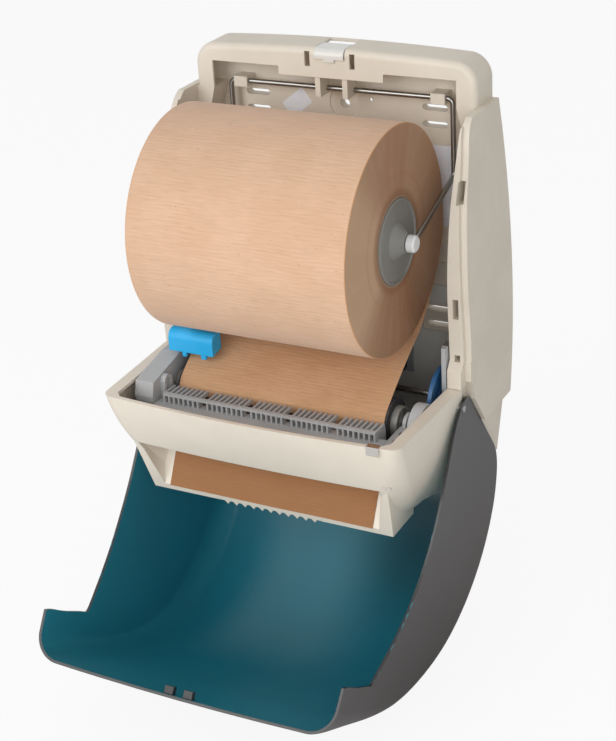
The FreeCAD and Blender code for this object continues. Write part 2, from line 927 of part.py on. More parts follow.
keyhole = fuse(
    "keyhole",
    cylinder("keyhole_round", "y", "-panel_ahead - 3", ("0", "keyhole_up"), "keyhole_radius", "30"),
    slot_prism("keyhole_slot", "0", "keyhole_up + keyhole_rise / 2", "keyhole_neck + 0.01",
               "keyhole_neck", "2", "30"),
    box("keyhole_throat", ("-keyhole_neck / 2", "keyhole_neck / 2"), ("-panel_ahead - 3", "2"),
        ("keyhole_up", "keyhole_up + keyhole_rise / 2")),
)
keyhole_dish = cylinder("keyhole_dish", "y", "-panel_ahead - 1", ("0", "keyhole_up"),
                        "keyhole_dish_radius - 1.5", "1.8")
pilot_hole = cylinder("pilot_hole", "y", "-panel_ahead - 3", ("pilot_hole_at", "pilot_hole_up"),
                      "pilot_hole_radius", "30")


# Header arch

def arch_view(name, inset, foot, offset):
    """The front view of the header, rounded at its two upper corners."""
    half = f"header_half - {inset}"
    top = f"header_top - {inset}"
    corner = f"(header_corner - {inset})"
    bend = "(1 - sqrt(0.5))"
    return outline(
        name, "XZ",
        (f"{half}", foot),
        (f"{half}", f"{top} - header_crown - {corner}"),
        (f"{half} - {corner} * {bend}", f"{top} - header_crown - {corner} * {bend}",
         f"{half} - {corner}", f"{top} - header_crown"),
        ("0", top, f"-({half} - {corner})", f"{top} - header_crown"),
        (f"-({half} - {corner} * {bend})", f"{top} - header_crown - {corner} * {bend}",
         f"-({half})", f"{top} - header_crown - {corner}"),
        (f"-({half})", foot),
        offset=offset,
    )


header_prism = extrude("header_prism", arch_view("header_view", "0", "case_top - wall", "0"),
                       "header_ahead")
header_block = soften(
    "header_block", header_prism, "header_edge",
    lambda middle, edge: abs(middle.y + number("header_ahead")) < 0.01
    and middle.z > number("case_top") + 1,
)
header_front_hollow = extrude(
    "header_front_hollow", arch_view("header_hollow_view", "wall", "case_top - 20", "-panel_ahead"),
    "header_ahead - panel_ahead - wall")
header_back_hollow = extrude(
    "header_back_hollow", arch_view("header_back_view", "wall", "case_top - 20", "1"),
    "panel_ahead - wall + 1")
arch_opening = fuse(
    "arch_opening",
    box("arch_left", ("-arch_half", "-apron_half"), ("-header_ahead - 5", "-header_ahead + wall + 2"),
        ("case_top - 20", "arch_top")),
    box("arch_right", ("apron_half", "arch_half"), ("-header_ahead - 5", "-header_ahead + wall + 2"),
        ("case_top - 20", "arch_top")),
    box("arch_middle", ("-apron_half - 1", "apron_half + 1"),
        ("-header_ahead - 5", "-header_ahead + wall + 2"), ("case_top - 20", "apron_bottom")),
)
gusset_view = outline(
    "gusset_view", "XZ",
    ("arch_half", "case_top - wall + 1"),
    ("header_half", "case_top - wall + 1"),
    ("header_half", "gusset_up"),
    ("arch_half + 4", "(case_top + gusset_up) / 2 + 8", "arch_half", "case_top - wall + 1"),
    offset="-panel_ahead + 1",
)
gusset = extrude("gusset", gusset_view, "header_ahead - panel_ahead + 1")
header_slots = [
    box(f"header_slot_{side}",
        (f"{at} - header_slot_width / 2", f"{at} + header_slot_width / 2"),
        ("-header_ahead - 2", "-header_ahead + wall + 2"),
        ("header_slot_up - header_slot_height / 2", "header_slot_up + header_slot_height / 2"))
    for side, at in (("left", "-header_slot_at"), ("right", "header_slot_at"))
]
latch_window = box(
    "latch_window", ("-latch_half - latch_gap", "latch_half + latch_gap"),
    ("-latch_ahead - 3", "-latch_slot_rear"),
    ("hook_top - latch_wall - latch_travel - latch_gap", "header_top + 5"))
hooks = [
    box(f"bail_hook_{side}", (f"{at} - hook_width / 2", f"{at} + hook_width / 2"),
        ("-header_ahead + wall / 2", "-bail_ahead + wire_radius + clip_wall"),
        ("bail_up - wire_radius - clip_wall", "apron_bottom + 2"))
    for side, at in (("left", "-hook_at"), ("right", "hook_at"))
]
spring_shelf = box("spring_shelf", ("-spring_radius - 3", "spring_radius + 3"),
                   ("-header_ahead + wall / 2", "-header_ahead + wall + 2 * spring_radius + 3"),
                   ("spring_foot - wall", "spring_foot"))
bail_bore = cylinder("bail_bore", "x", "-60", ("-bail_ahead", "bail_up"),
                     "wire_radius + running_gap", "120")
header = cut("header", header_block, header_front_hollow, header_back_hollow, arch_opening,
             latch_window, *header_slots)

rail_cuts = []
for side in ("", "-"):
    tag = "left" if side else "right"
    for level in ("rail_slot_high", "rail_slot_low"):
        rail_cuts.append(box(
            f"rail_cut_{tag}_{level}",
            (f"{side}rail_slot_half - rail_slot_width / 2", f"{side}rail_slot_half + rail_slot_width / 2"),
            ("-hinge_ahead - 20", "-hinge_ahead + 35"),
            (f"{level} - rail_slot_length / 2", f"{level} + rail_slot_length / 2")))
    rail_cuts.append(box(
        f"rail_square_{tag}",
        (f"{side}rail_slot_half - rail_slot_width / 2", f"{side}rail_slot_half + rail_slot_width / 2"),
        ("-hinge_ahead - 20", "-hinge_ahead + 35"), ("rail_hole_up - 3", "rail_hole_up + 3")))

case_shell = cut("case_shell", case_skin, hollow)
case_solid = fuse("case_solid", case_shell, rail, mirror("rail_left", rail), header,
                  gusset, mirror("gusset_left", gusset), spring_shelf, *hooks, *bosses)
SCREW_SPOTS = [
    (f"{side}_{level}", across, up)
    for side, across in (("left", "-tray_screw_at"), ("right", "tray_screw_at"))
    for level, up in (("high", "tray_screw_high"), ("low", "tray_screw_low"))
]
case_bores = [
    cylinder(f"case_bore_{tag}", "y", "-case_front_ahead - 1", (across, up),
             "screw_radius + running_gap", "wall + 2")
    for tag, across, up in SCREW_SPOTS
]
rear_case = node("rear_case", cut("case_cut", case_solid, keyhole, keyhole_dish, pilot_hole,
                                  bail_bore, *slots, *rail_cuts, *case_bores))


# Lower tray: a rounded shell with a framed chute through its front

def tray_section(level, up, inset, back):
    """The plan view of the tray at one level, with a slightly crowned front."""
    half = f"({level}_half - {inset})"
    rear_half = f"({level}_rear_half - {inset})"
    ahead = f"({level}_ahead - {inset})"
    corner = f"({level}_corner - {inset} / 2)"
    bend = "(1 - sqrt(0.5))"
    shoulder = f"-{ahead} + {level}_crown"
    return outline(
        f"tray_{level}", "XY", (rear_half, back),
        (half, f"{shoulder} + {corner}"),
        (f"{half} - {corner} * {bend}", f"{shoulder} + {corner} * {bend}",
         f"{half} - {corner}", shoulder),
        ("0", f"-{ahead}", f"-({half} - {corner})", shoulder),
        (f"-({half} - {corner} * {bend})", f"{shoulder} + {corner} * {bend}",
         f"-{half}", f"{shoulder} + {corner}"),
        (f"-{rear_half}", back),
        offset=up,
    )


def tray_loft(name, inset, back, levels):
    made = doc.addObject("Part::Loft", name)
    made.Sections = [tray_section(level, up, inset, back) for level, up in levels]
    made.Solid = True
    made.Ruled = False
    return made


def chute_prism(name, sides, front, *plan):
    """A side view that is also trimmed by a front view and by a plan view."""
    views = [
        extrude(name + "_front", outline(name + "_sides", "XZ", *front, offset="-100"), "160"),
        extrude(name + "_side", outline(name + "_profile", "YZ", *sides, offset="-rim_half"),
                "2 * rim_half"),
    ]
    if plan:
        views.append(extrude(name + "_top", outline(name + "_plan", "XY", *plan,
                                                    offset="lip_bottom - 20"), "130"))
    return common(name, *views)


def throat_plan(extra):
    """Plan view of the chute: wide at its mouth and narrow at its throat."""
    wide = f"slot_top_half + {extra}"
    narrow = f"throat_half + {extra}"
    return (
        (wide, "-rim_ahead - 30"), (wide, "-slot_top_ahead + 6"), (narrow, "-ceiling_ahead + 4"),
        (narrow, "-frame_back"), (f"-({narrow})", "-frame_back"),
        (f"-({narrow})", "-ceiling_ahead + 4"), (f"-({wide})", "-slot_top_ahead + 6"),
        (f"-({wide})", "-rim_ahead - 30"),
    )


def lean(made):
    """Tilts an upright piece to the slope of the chute's frame and hangs it from the lip."""
    made.Placement = FreeCAD.Placement(Vector(), FreeCAD.Rotation(Vector(1, 0, 0), 1))
    made.setExpression(".Placement.Rotation.Angle",
                       bound("atan((frame_ahead - lip_ahead) / (frame_up - lip_up))"))
    return place(made, "0", "-lip_ahead", "lip_up")


TRAY_BACK = "-case_front_ahead - tray_joint"
LIP_SET = "(lip_up - lip_bottom) * (frame_ahead - lip_ahead) / (frame_up - lip_up)"
tray_block = tray_loft("tray_block", "0", TRAY_BACK,
                       (("rim", "rim_up"), ("waist", "waist_up"), ("foot", "foot_up")))
tray_hollow = tray_loft("tray_hollow", "wall", "-case_front_ahead + 5",
                        (("rim", "rim_up - rim_thickness"), ("waist", "waist_up"),
                         ("foot", "foot_up + wall")))
frame_block = chute_prism(
    "frame_block",
    (("-frame_back", "frame_up"), ("-frame_ahead", "frame_up"), ("-lip_ahead", "lip_up"),
     (f"-lip_ahead + {LIP_SET}", "lip_bottom"), ("-frame_back", "lip_bottom")),
    (("frame_top_half", "frame_up"), ("-frame_top_half", "frame_up"),
     ("-frame_low_half", "lip_bottom"), ("frame_low_half", "lip_bottom")),
)
frame_hollow = chute_prism(
    "frame_hollow",
    (("-frame_back - wall", "frame_up - wall"), ("-frame_ahead + wall", "frame_up - wall"),
     ("-lip_ahead + wall", "lip_up"), (f"-lip_ahead + {LIP_SET} + wall", "lip_bottom + wall"),
     ("-frame_back - wall", "lip_bottom + wall")),
    (("frame_top_half - wall", "frame_up - wall"), ("-frame_top_half + wall", "frame_up - wall"),
     ("-frame_low_half + wall", "lip_bottom + wall"), ("frame_low_half - wall", "lip_bottom + wall")),
)
chute_lining = chute_prism(
    "chute_lining",
    (("-rim_ahead - 5", "slot_top_up + wall"), ("-slot_top_ahead + 0.6", "slot_top_up + wall"),
     ("-ceiling_bend_ahead + 0.8", "ceiling_bend_up + wall"), ("-ceiling_ahead", "ceiling_up + wall"),
     ("-throat_ahead", "ceiling_up + wall"), ("-throat_ahead + wall", "throat_up - 1"),
     ("-lip_ahead + wall", "lip_up - 1"), ("-lip_ahead + wall", "lip_bottom - 5"),
     ("-rim_ahead - 5", "lip_bottom - 5")),
    (("slot_top_half + wall", "throat_up + 20"), ("-slot_top_half - wall", "throat_up + 20"),
     ("-slot_top_half - wall", "slot_top_up"), ("-slot_low_half - wall", "lip_bottom - 5"),
     ("slot_low_half + wall", "lip_bottom - 5"), ("slot_top_half + wall", "slot_top_up")),
    *throat_plan("wall"),
)
chute = chute_prism(
    "chute",
    (("-rim_ahead - 20", "slot_top_up"), ("-slot_top_ahead", "slot_top_up"),
     ("-ceiling_bend_ahead", "ceiling_bend_up"), ("-ceiling_ahead", "ceiling_up"),
     ("-ceiling_ahead", "ceiling_up + 8"), ("-throat_ahead", "ceiling_up + 8"),
     ("-throat_ahead", "throat_up"), ("-lip_ahead", "lip_up"), ("-rim_ahead - 20", "lip_up")),
    (("slot_top_half", "throat_up + 20"), ("-slot_top_half", "throat_up + 20"),
     ("-slot_top_half", "slot_top_up"), ("-slot_low_half", "lip_up"),
     ("slot_low_half", "lip_up"), ("slot_top_half", "slot_top_up")),
    *throat_plan("0"),
)
rim_opening = extrude(
    "rim_opening",
    outline("rim_opening_view", "XY",
            ("rail_inner_half", "-case_front_ahead + 5"),
            ("rim_half - rim_width", "-rim_ahead + rim_crown + rim_front_width + 6"),
            ("rim_half - rim_width - 6", "-rim_ahead + rim_crown + rim_front_width"),
            ("0", "-rim_ahead + rim_front_width",
             "-rim_half + rim_width + 6", "-rim_ahead + rim_crown + rim_front_width"),
            ("-rim_half + rim_width", "-rim_ahead + rim_crown + rim_front_width + 6"),
            ("-rail_inner_half", "-case_front_ahead + 5"),
            offset="rim_up - rim_thickness - 1"),
    "rim_thickness + 5",
)
tray_bosses = []
tray_bores = [cylinder("tray_hinge_bore", "x", f"-({REACH})", HINGE,
                       "hinge_pin_radius + running_gap", f"2 * ({REACH})")]
for tag, across, up in SCREW_SPOTS:
    tray_bosses.append(cylinder(f"tray_boss_{tag}", "y", "-case_front_ahead - tray_joint - 12",
                                (across, up), "4", "12"))
    tray_bores.append(cylinder(f"tray_bore_{tag}", "y", "-case_front_ahead - tray_joint - 10.5",
                               (across, up), "screw_radius + running_gap", "12"))
for side, start in (("left", "-hinge_boss_outer"), ("right", "hinge_boss_inner")):
    tray_bosses.append(cylinder(f"hinge_boss_{side}", "x", start, HINGE, "hinge_boss_radius",
                                "hinge_boss_outer - hinge_boss_inner"))
LIGHT_SPOTS = (("first", "light_half"), ("second", "light_half + light_pitch"))
for tag, across in LIGHT_SPOTS:
    tray_bores.append(cylinder(f"light_bore_{tag}", "y", "-rim_ahead", (across, "light_up"),
                               "light_radius + running_gap", "40"))
tray_bores.append(box("sensor_opening", ("-sensor_half", "sensor_half"),
                      ("-sensor_ahead", "-sensor_ahead + sensor_depth"), ("foot_up - 5", "foot_up + wall + 5")))
notch_block = box("notch_block", ("-tear_half - tear_gap", "tear_half + tear_gap"),
                  ("-5", "tear_thickness + tear_gap"), ("-tear_height - 10", "-tear_edge"))
tray_bores.append(lean(group("tear_notch", notch_block)))
tray_hull = fuse("tray_hull", tray_block, frame_block)
tray_room = cut("tray_room", fuse("tray_rooms", tray_hollow, frame_hollow), chute_lining)
tray_pegs = common("tray_pegs", fuse("tray_peg_block", *tray_bosses), tray_block)
tray_shell = fuse("tray_shell", cut("tray_skin", tray_hull, tray_room), tray_pegs)
nose_tray = node("nose_tray", cut("tray_cut", tray_shell, chute, rim_opening, *tray_bores))


# Roll carrier: a bent wire bail with a turned stud at the end of each arm

def bent_wire(points, bend):
    """Straight runs joined by tangent arcs."""
    edges = []
    here = points[0]
    for before, corner, after in zip(points, points[1:], points[2:]):
        u = (before - corner).normalize()
        v = (after - corner).normalize()
        half = u.getAngle(v) / 2
        reach = bend / math.tan(half)
        middle = corner + (u + v).normalize() * (bend / math.sin(half) - bend)
        start, end = corner + u * reach, corner + v * reach
        edges.append(Part.makeLine(here, start))
        edges.append(Part.Arc(start, middle, end).toShape())
        here = end
    edges.append(Part.makeLine(here, points[-1]))
    return Part.Wire(edges)


def rod(path, radius):
    """A round bar along a path."""
    start = path.Edges[0].valueAt(path.Edges[0].FirstParameter)
    way = path.Edges[0].tangentAt(path.Edges[0].FirstParameter)
    ring = Part.Wire(Part.makeCircle(radius, start, way))
    return path.makePipeShell([ring], True, True)


def point(x, ahead, up):
    return Vector(number(x), -number(ahead), number(up))


ROLL = ("-roll_ahead", "roll_up")
HUB_FACE = "roll_width / 2 + hub_proud"
HUB_DISH = f"{HUB_FACE} - hub_dish"
HUB_TIP = f"{HUB_FACE} + hub_cone_depth"
STUD_FACE = f"{HUB_TIP} + stud_gap"
STUD_MIDDLE = f"{STUD_FACE} + stud_head_depth / 2"

right_arm = [
    point("0", "bail_ahead", "bail_up"),
    point("bail_half", "bail_ahead", "bail_up"),
    point("bail_half", "bail_ahead", "bail_leg_foot"),
    point(STUD_MIDDLE, "roll_ahead", "roll_up"),
]
reach_in = right_arm[2] - right_arm[3]
right_arm[3] = right_arm[3] + reach_in * (3 / reach_in.Length)
right_wire = feature("right_wire", rod(bent_wire(right_arm, number("bail_bend")), number("wire_radius")))
wire_bail = node("wire_bail", fuse("bail", right_wire, mirror("left_wire", right_wire)))

stud_turning = turned(
    "stud_turning",
    (f"{STUD_FACE} - axle_depth", "0"), (f"{STUD_FACE} - axle_depth", "axle_radius"),
    (STUD_FACE, "axle_radius"), (STUD_FACE, "stud_head_radius"),
    (f"{STUD_FACE} + stud_head_depth - 1.5", "stud_head_radius"),
    (f"{STUD_FACE} + stud_head_depth", "stud_head_radius - 1.5"),
    (f"{STUD_FACE} + stud_head_depth", "0"), ahead="roll_ahead", up="roll_up")
stud_bore = feature("stud_bore", rod(Part.Wire(Part.makeLine(right_arm[3], right_arm[2])),
                                     number("wire_radius + running_gap")))
stud_right = node("axle_stud_right", cut("stud_cut", stud_turning, stud_bore))
node("axle_stud_left", mirror("stud_left", stud_right))

clips = []
for side, across in (("left", "-clip_at"), ("right", "clip_at")):
    block = box(f"clip_block_{side}", (f"{across} - clip_width / 2", f"{across} + clip_width / 2"),
                ("-bail_ahead - wire_radius - clip_wall", "-panel_ahead"),
                ("bail_up - wire_radius - clip_wall", "bail_up + wire_radius + clip_wall"))
    hole = cylinder(f"clip_hole_{side}", "x", f"{across} - clip_width", ("-bail_ahead", "bail_up"),
                    "wire_radius + running_gap", "2 * clip_width")
    clips.append(cut(f"clip_{side}", block, hole))
node("bail_clips", group("clip_pair", *clips))


# Paper roll with its core and two plug hubs

node("paper_roll", turned(
    "roll_turning", ("-roll_width / 2", "core_radius"), ("-roll_width / 2", "roll_radius"),
    ("roll_width / 2", "roll_radius"), ("roll_width / 2", "core_radius"),
    ahead="roll_ahead", up="roll_up"))
node("paper_core", turned(
    "core_turning", ("-roll_width / 2", "core_radius - core_wall"),
    ("-roll_width / 2", "core_radius - core_gap"), ("roll_width / 2", "core_radius - core_gap"),
    ("roll_width / 2", "core_radius - core_wall"), ahead="roll_ahead", up="roll_up"))
PLUG = "(core_radius - core_wall - hub_gap)"
hub_turning = turned(
    "hub_turning",
    ("roll_width / 2 - hub_plug_depth", f"{PLUG} - hub_wall"), ("roll_width / 2 - hub_plug_depth", PLUG),
    (f"{HUB_FACE} - 0.8", PLUG), (HUB_FACE, f"{PLUG} - 0.8"),
    (HUB_FACE, f"{PLUG} - hub_rim"), (HUB_DISH, f"{PLUG} - hub_rim - 1"),
    (HUB_DISH, "hub_cone_radius"), (HUB_TIP, "hub_cone_tip_radius"),
    (HUB_TIP, "axle_radius + running_gap"), (f"{STUD_FACE} - axle_depth - 1", "axle_radius + running_gap"),
    (f"{STUD_FACE} - axle_depth - 1", "hub_cone_tip_radius - 0.5"),
    (f"{HUB_DISH} - hub_wall", "hub_cone_tip_radius - 0.5"), (f"{HUB_DISH} - hub_wall", f"{PLUG} - hub_wall"),
    ahead="roll_ahead", up="roll_up")
hub_right = node("roll_hub_right", hub_turning)
node("roll_hub_left", mirror("hub_left", hub_right))


# Drive roller, its shaft, end caps and bushes

DRIVE = {"ahead": "drive_ahead", "up": "drive_up"}
node("drive_roller", turned(
    "sleeve_turning", ("-drive_half", "drive_radius - sleeve_wall"), ("-drive_half", "drive_radius"),
    ("drive_half", "drive_radius"), ("drive_half", "drive_radius - sleeve_wall"), **DRIVE))
SLEEVE_IN = "drive_radius - sleeve_wall - running_gap"
SHAFT_RIGHT = "block_inner + bush_depth + shaft_end_gap"
node("roller_core", turned(
    "core_tube", ("-drive_half", "shaft_radius + running_gap"), ("-drive_half", SLEEVE_IN),
    ("drive_half", SLEEVE_IN), ("drive_half", "shaft_radius + running_gap"),
    ("drive_half - 4", "shaft_radius + running_gap"), ("drive_half - 4", "drive_radius - 6"),
    ("-drive_half + 4", "drive_radius - 6"), ("-drive_half + 4", "shaft_radius + running_gap"), **DRIVE))
node("drive_shaft", turned(
    "shaft_turning", ("-shaft_left", "0"), ("-shaft_left", "shaft_radius - 0.6"),
    ("-shaft_left + 0.6", "shaft_radius"), (f"{SHAFT_RIGHT} - 0.6", "shaft_radius"),
    (SHAFT_RIGHT, "shaft_radius - 0.6"), (SHAFT_RIGHT, "0"), **DRIVE))
AXIS = ("-drive_ahead", "drive_up")
cap_x = "drive_half + seat_gap"
cap_tyre = cut("cap_tyre", cylinder("cap_outer", "x", cap_x, AXIS, "cap_radius", "cap_depth"),
               cylinder("cap_inner", "x", f"{cap_x} - 1", AXIS, "cap_radius - cap_rim", "cap_depth + 2"))
spokes = []
for index in range(int(number("cap_spokes / 2"))):
    spoke = box(f"cap_spoke_{index}", (cap_x, f"{cap_x} + cap_depth - 1"), ("0", "1"), ("0", "1"))
    spoke.setExpression("Width", bound("2 * (cap_radius - cap_rim / 2)"))
    spoke.setExpression("Height", bound("cap_spoke_width"))
    turn = f"(360 / cap_spokes * {index} + 15)"
    spoke.Placement.Rotation = FreeCAD.Rotation(Vector(1, 0, 0), number(turn))
    arm, drop = "(cap_radius - cap_rim / 2)", "cap_spoke_width / 2"
    place(spoke, cap_x, f"-drive_ahead - {arm} * cos({turn}) + {drop} * sin({turn})",
          f"drive_up - {arm} * sin({turn}) - {drop} * cos({turn})")
    spokes.append(spoke)
cap_body = fuse("cap_body", cap_tyre, *spokes,
                cylinder("cap_hub", "x", cap_x, AXIS, "cap_hub_radius", "cap_depth"))
cap_right = node("roller_cap_right", cut(
    "cap_bored", cap_body, cylinder("cap_bore", "x", "drive_half - 1", AXIS,
                                    "shaft_radius + running_gap", "cap_depth + 4")))
node("roller_cap_left", mirror("cap_left", cap_right))


def bush(name, face):
    """A flanged bush that stands in a wall whose inner face is at x."""
    bore = "shaft_radius + running_gap"
    return turned(
        name, (f"{face} - bush_flange", bore), (f"{face} - bush_flange", "bush_flange_radius"),
        (face, "bush_flange_radius"), (face, "bush_radius"), (f"{face} + bush_depth", "bush_radius"),
        (f"{face} + bush_depth", bore), **DRIVE)


node("bearing_bush_right", bush("bush_right", "block_inner"))
node("bearing_bush_left", mirror("bush_left", bush("bush_left_turning", "gearcase_inner")))


# Gear train from the motor to the drive roller

FIRST = "(gear_module * (drive_teeth + idler_small_teeth) / 2)"
SECOND = f"({FIRST} + gear_module * (idler_large_teeth + pinion_teeth) / 2)"
IDLER = (f"-drive_ahead + {FIRST} * cos(train_angle)", f"drive_up + {FIRST} * sin(train_angle)")
PINION = (f"-drive_ahead + {SECOND} * cos(train_angle)", f"drive_up + {SECOND} * sin(train_angle)")
LAYER_A = "-gearcase_inner - 3.3 - gear_width"
LAYER_B = f"{LAYER_A} - gear_width - gear_gap"

node("drive_gear", place(gear("drive_wheel", "drive_teeth", "gear_width",
                              "shaft_radius + running_gap", "train_angle"), LAYER_A, *AXIS))
idler_small = place(gear("idler_small", "idler_small_teeth", "gear_width", "idler_pin_radius + running_gap",
                         "train_angle + 180 + 180 / idler_small_teeth"), LAYER_A, *IDLER)
idler_large = place(gear("idler_large", "idler_large_teeth", "gear_width",
                         "idler_pin_radius + running_gap", "train_angle"), LAYER_B, *IDLER)
idler_hub = cut("idler_hub", cylinder("idler_boss", "x", f"{LAYER_B} + gear_width / 2", IDLER, "5",
                                      "gear_width / 2 + gear_gap + gear_width / 2"),
                cylinder("idler_bore", "x", "-gearcase_outer", IDLER, "idler_pin_radius + running_gap", "30"))
node("idler_gear", fuse("idler_pair", idler_small, idler_large, idler_hub))
pinion = place(gear("pinion", "pinion_teeth", "gear_width", "motor_shaft_radius - 0.3",
                    "train_angle + 180 + 180 / pinion_teeth"), LAYER_B, *PINION)
MOTOR_FACE = "-gearcase_inner + 0.2"
node("motor_pinion", fuse("pinion_on_shaft", pinion, cylinder(
    "motor_shaft", "x", f"{LAYER_B} - 0.5", PINION, "motor_shaft_radius",
    f"{MOTOR_FACE} - ({LAYER_B}) + 10")))
node("motor", turned(
    "motor_turning", (f"{MOTOR_FACE} + 11", "0"), (f"{MOTOR_FACE} + 11", "motor_shaft_radius + running_gap"),
    (MOTOR_FACE, "motor_shaft_radius + running_gap"), (MOTOR_FACE, "motor_radius"),
    (f"{MOTOR_FACE} + motor_length - 1.5", "motor_radius"),
    (f"{MOTOR_FACE} + motor_length", "motor_radius - 1.5"), (f"{MOTOR_FACE} + motor_length", "3"),
    (f"{MOTOR_FACE} + motor_length + 2", "3"), (f"{MOTOR_FACE} + motor_length + 2", "0"),
    ahead=f"-({PINION[0]})", up=PINION[1]))

CASE_VIEW = (
    ("-gearcase_front", "gearcase_front_top"), ("-gearcase_bend", "gearcase_top"),
    ("-gearcase_rear", "gearcase_top"),
    ("-gearcase_rear", "gearcase_bottom"), ("-gearcase_low_front", "gearcase_bottom"),
    ("-gearcase_low_front - 16", "gearcase_bottom + 34"), ("-gearcase_low_front - 22", "gearcase_step"),
    ("-gearcase_front", "gearcase_step"), ("-gearcase_nose", "gearcase_nose_up"),
)
ROOM_VIEW = (
    ("-gearcase_nose + gearcase_wall", "gearcase_nose_up"),
    ("-gearcase_front + gearcase_wall", "gearcase_front_top - gearcase_wall"),
    ("-gearcase_bend", "gearcase_top - gearcase_wall"),
    ("-gearcase_rear - gearcase_wall", "gearcase_top - gearcase_wall"),
    ("-gearcase_rear - gearcase_wall", "gearcase_bottom + gearcase_wall"),
    ("-gearcase_low_front + 1.3", "gearcase_bottom + gearcase_wall"),
    ("-gearcase_low_front - 14.3", "gearcase_bottom + 35"),
    ("-gearcase_low_front - 20.7", "gearcase_step + gearcase_wall"),
    ("-gearcase_front + gearcase_wall", "gearcase_step + gearcase_wall"),
)
gear_block = extrude("gear_block", outline("gear_block_view", "YZ", *CASE_VIEW,
                                           offset="-gearcase_outer + gearcase_wall"),
                     "gearcase_outer - gearcase_wall - gearcase_inner")
gear_room = extrude("gear_room", outline("gear_room_view", "YZ", *ROOM_VIEW, offset="-gearcase_outer - 1"),
                    "gearcase_outer + 1 - gearcase_inner - gearcase_wall")
GEAR_SCREWS = (
    ("front", "-gearcase_front + 5", "gearcase_front_top - 6"),
    ("rear", "-gearcase_rear - 5", "gearcase_top - 9"),
    ("low", "-gearcase_rear - 5", "gearcase_bottom + 6"),
)
screw_posts = [
    cylinder(f"gear_post_{tag}", "x", "-gearcase_outer + gearcase_wall", (ahead, up), "3.6",
             "gearcase_outer - gearcase_wall - gearcase_inner - 1")
    for tag, ahead, up in GEAR_SCREWS
]
gear_bores = [
    cylinder(f"gear_screw_bore_{tag}", "x", "-gearcase_outer - 1", (ahead, up),
             "screw_radius + running_gap", "12")
    for tag, ahead, up in GEAR_SCREWS
]
rod_bore = cylinder("rod_bore", "x", "-gearcase_outer + gearcase_wall + 1", ("-rod_ahead", "rod_up"),
                    "rod_radius + running_gap", "30")
gear_bracket = box("gear_bracket", ("-gearcase_outer + gearcase_wall", "-gearcase_outer + gearcase_wall + 4"),
                   ("-gearcase_rear - 1", "-panel_ahead - module_back"), ("bracket_low", "bracket_high"))
gear_flange = box("gear_flange", ("-gearcase_outer + gearcase_wall", "-gearcase_inner"),
                  ("-flange_front", "-gearcase_front - 1"),
                  ("ledge_up - ledge_thickness - flange_drop", "ledge_up - ledge_thickness - seat_gap"))
EAR = ("-ear_ahead", "ear_up")
gear_ear = fuse(
    "gear_ear", cylinder("ear_round", "x", "-gearcase_inner", EAR, "ear_radius", "ear_thickness"),
    box("ear_foot", ("-gearcase_inner", "-gearcase_inner + ear_thickness"),
        ("-ear_ahead - ear_radius", "-ear_ahead + ear_radius"), ("ledge_up", "ear_up")))
ear_slot = box("ear_slot", ("-gearcase_inner + gearcase_wall", "-gearcase_inner + ear_thickness + 1"),
               ("-ear_ahead - ear_slot", "-ear_ahead + ear_slot"), ("ear_up - 7", "ear_up + 3"))
raised = box("raised", ("-gearcase_outer + 5", "-gearcase_inner - 4"), ("-gearcase_bend + 4", "-gearcase_rear - 6"),
             ("gearcase_top - 1", "gearcase_top + raised_panel"))
gear_shell = cut("gear_shell", fuse("gear_blocks", gear_block, gear_bracket, gear_flange, gear_ear, raised),
                 gear_room, ear_slot)
gear_solid = fuse("gear_solid", gear_shell, *screw_posts)
node("gearcase", cut(
    "gear_cut", gear_solid, rod_bore,
    cylinder("bush_bore", "x", "-gearcase_inner - 5", AXIS, "bush_radius + running_gap", "10"),
    cylinder("pinion_bore", "x", "-gearcase_inner - 5", PINION, "3", "10"),
    cylinder("pin_bore", "x", "-gearcase_inner - 5", IDLER, "idler_pin_radius + running_gap", "4.2"),
    *gear_bores))
cover_plate = extrude("gear_cover_plate", outline("gear_cover_view", "YZ", *CASE_VIEW,
                                                  offset="-gearcase_outer"), "gearcase_wall")
node("gearcase_cover", cut(
    "gear_cover_cut", cover_plate,
    cylinder("shaft_clear", "x", "-gearcase_outer - 1", AXIS, "shaft_radius + running_gap", "5"),
    cylinder("pin_clear", "x", "-gearcase_outer - 1", IDLER, "idler_pin_radius + running_gap", "5"),
    *[cylinder(f"gear_cover_bore_{tag}", "x", "-gearcase_outer - 1", (ahead, up),
               "screw_radius + running_gap", "5") for tag, ahead, up in GEAR_SCREWS]))
node("idler_pin", cylinder("idler_axle", "x", "-gearcase_outer", IDLER, "idler_pin_radius",
                           "gearcase_outer - gearcase_inner - 0.9"))
node("gearcase_screws", group("gear_screw_set", *[
    turned(f"gear_screw_{tag}", ("-gearcase_outer - screw_head", "0"),
           ("-gearcase_outer - screw_head", "screw_head_radius - 0.8"),
           ("-gearcase_outer - screw_head + 0.8", "screw_head_radius"),
           ("-gearcase_outer", "screw_head_radius"), ("-gearcase_outer", "screw_radius"),
           ("-gearcase_outer + 10", "screw_radius"), ("-gearcase_outer + 10", "0"),
           ahead=f"-({ahead})", up=up)
    for tag, ahead, up in GEAR_SCREWS]))


# Right bearing block, the post behind it and its metal strap

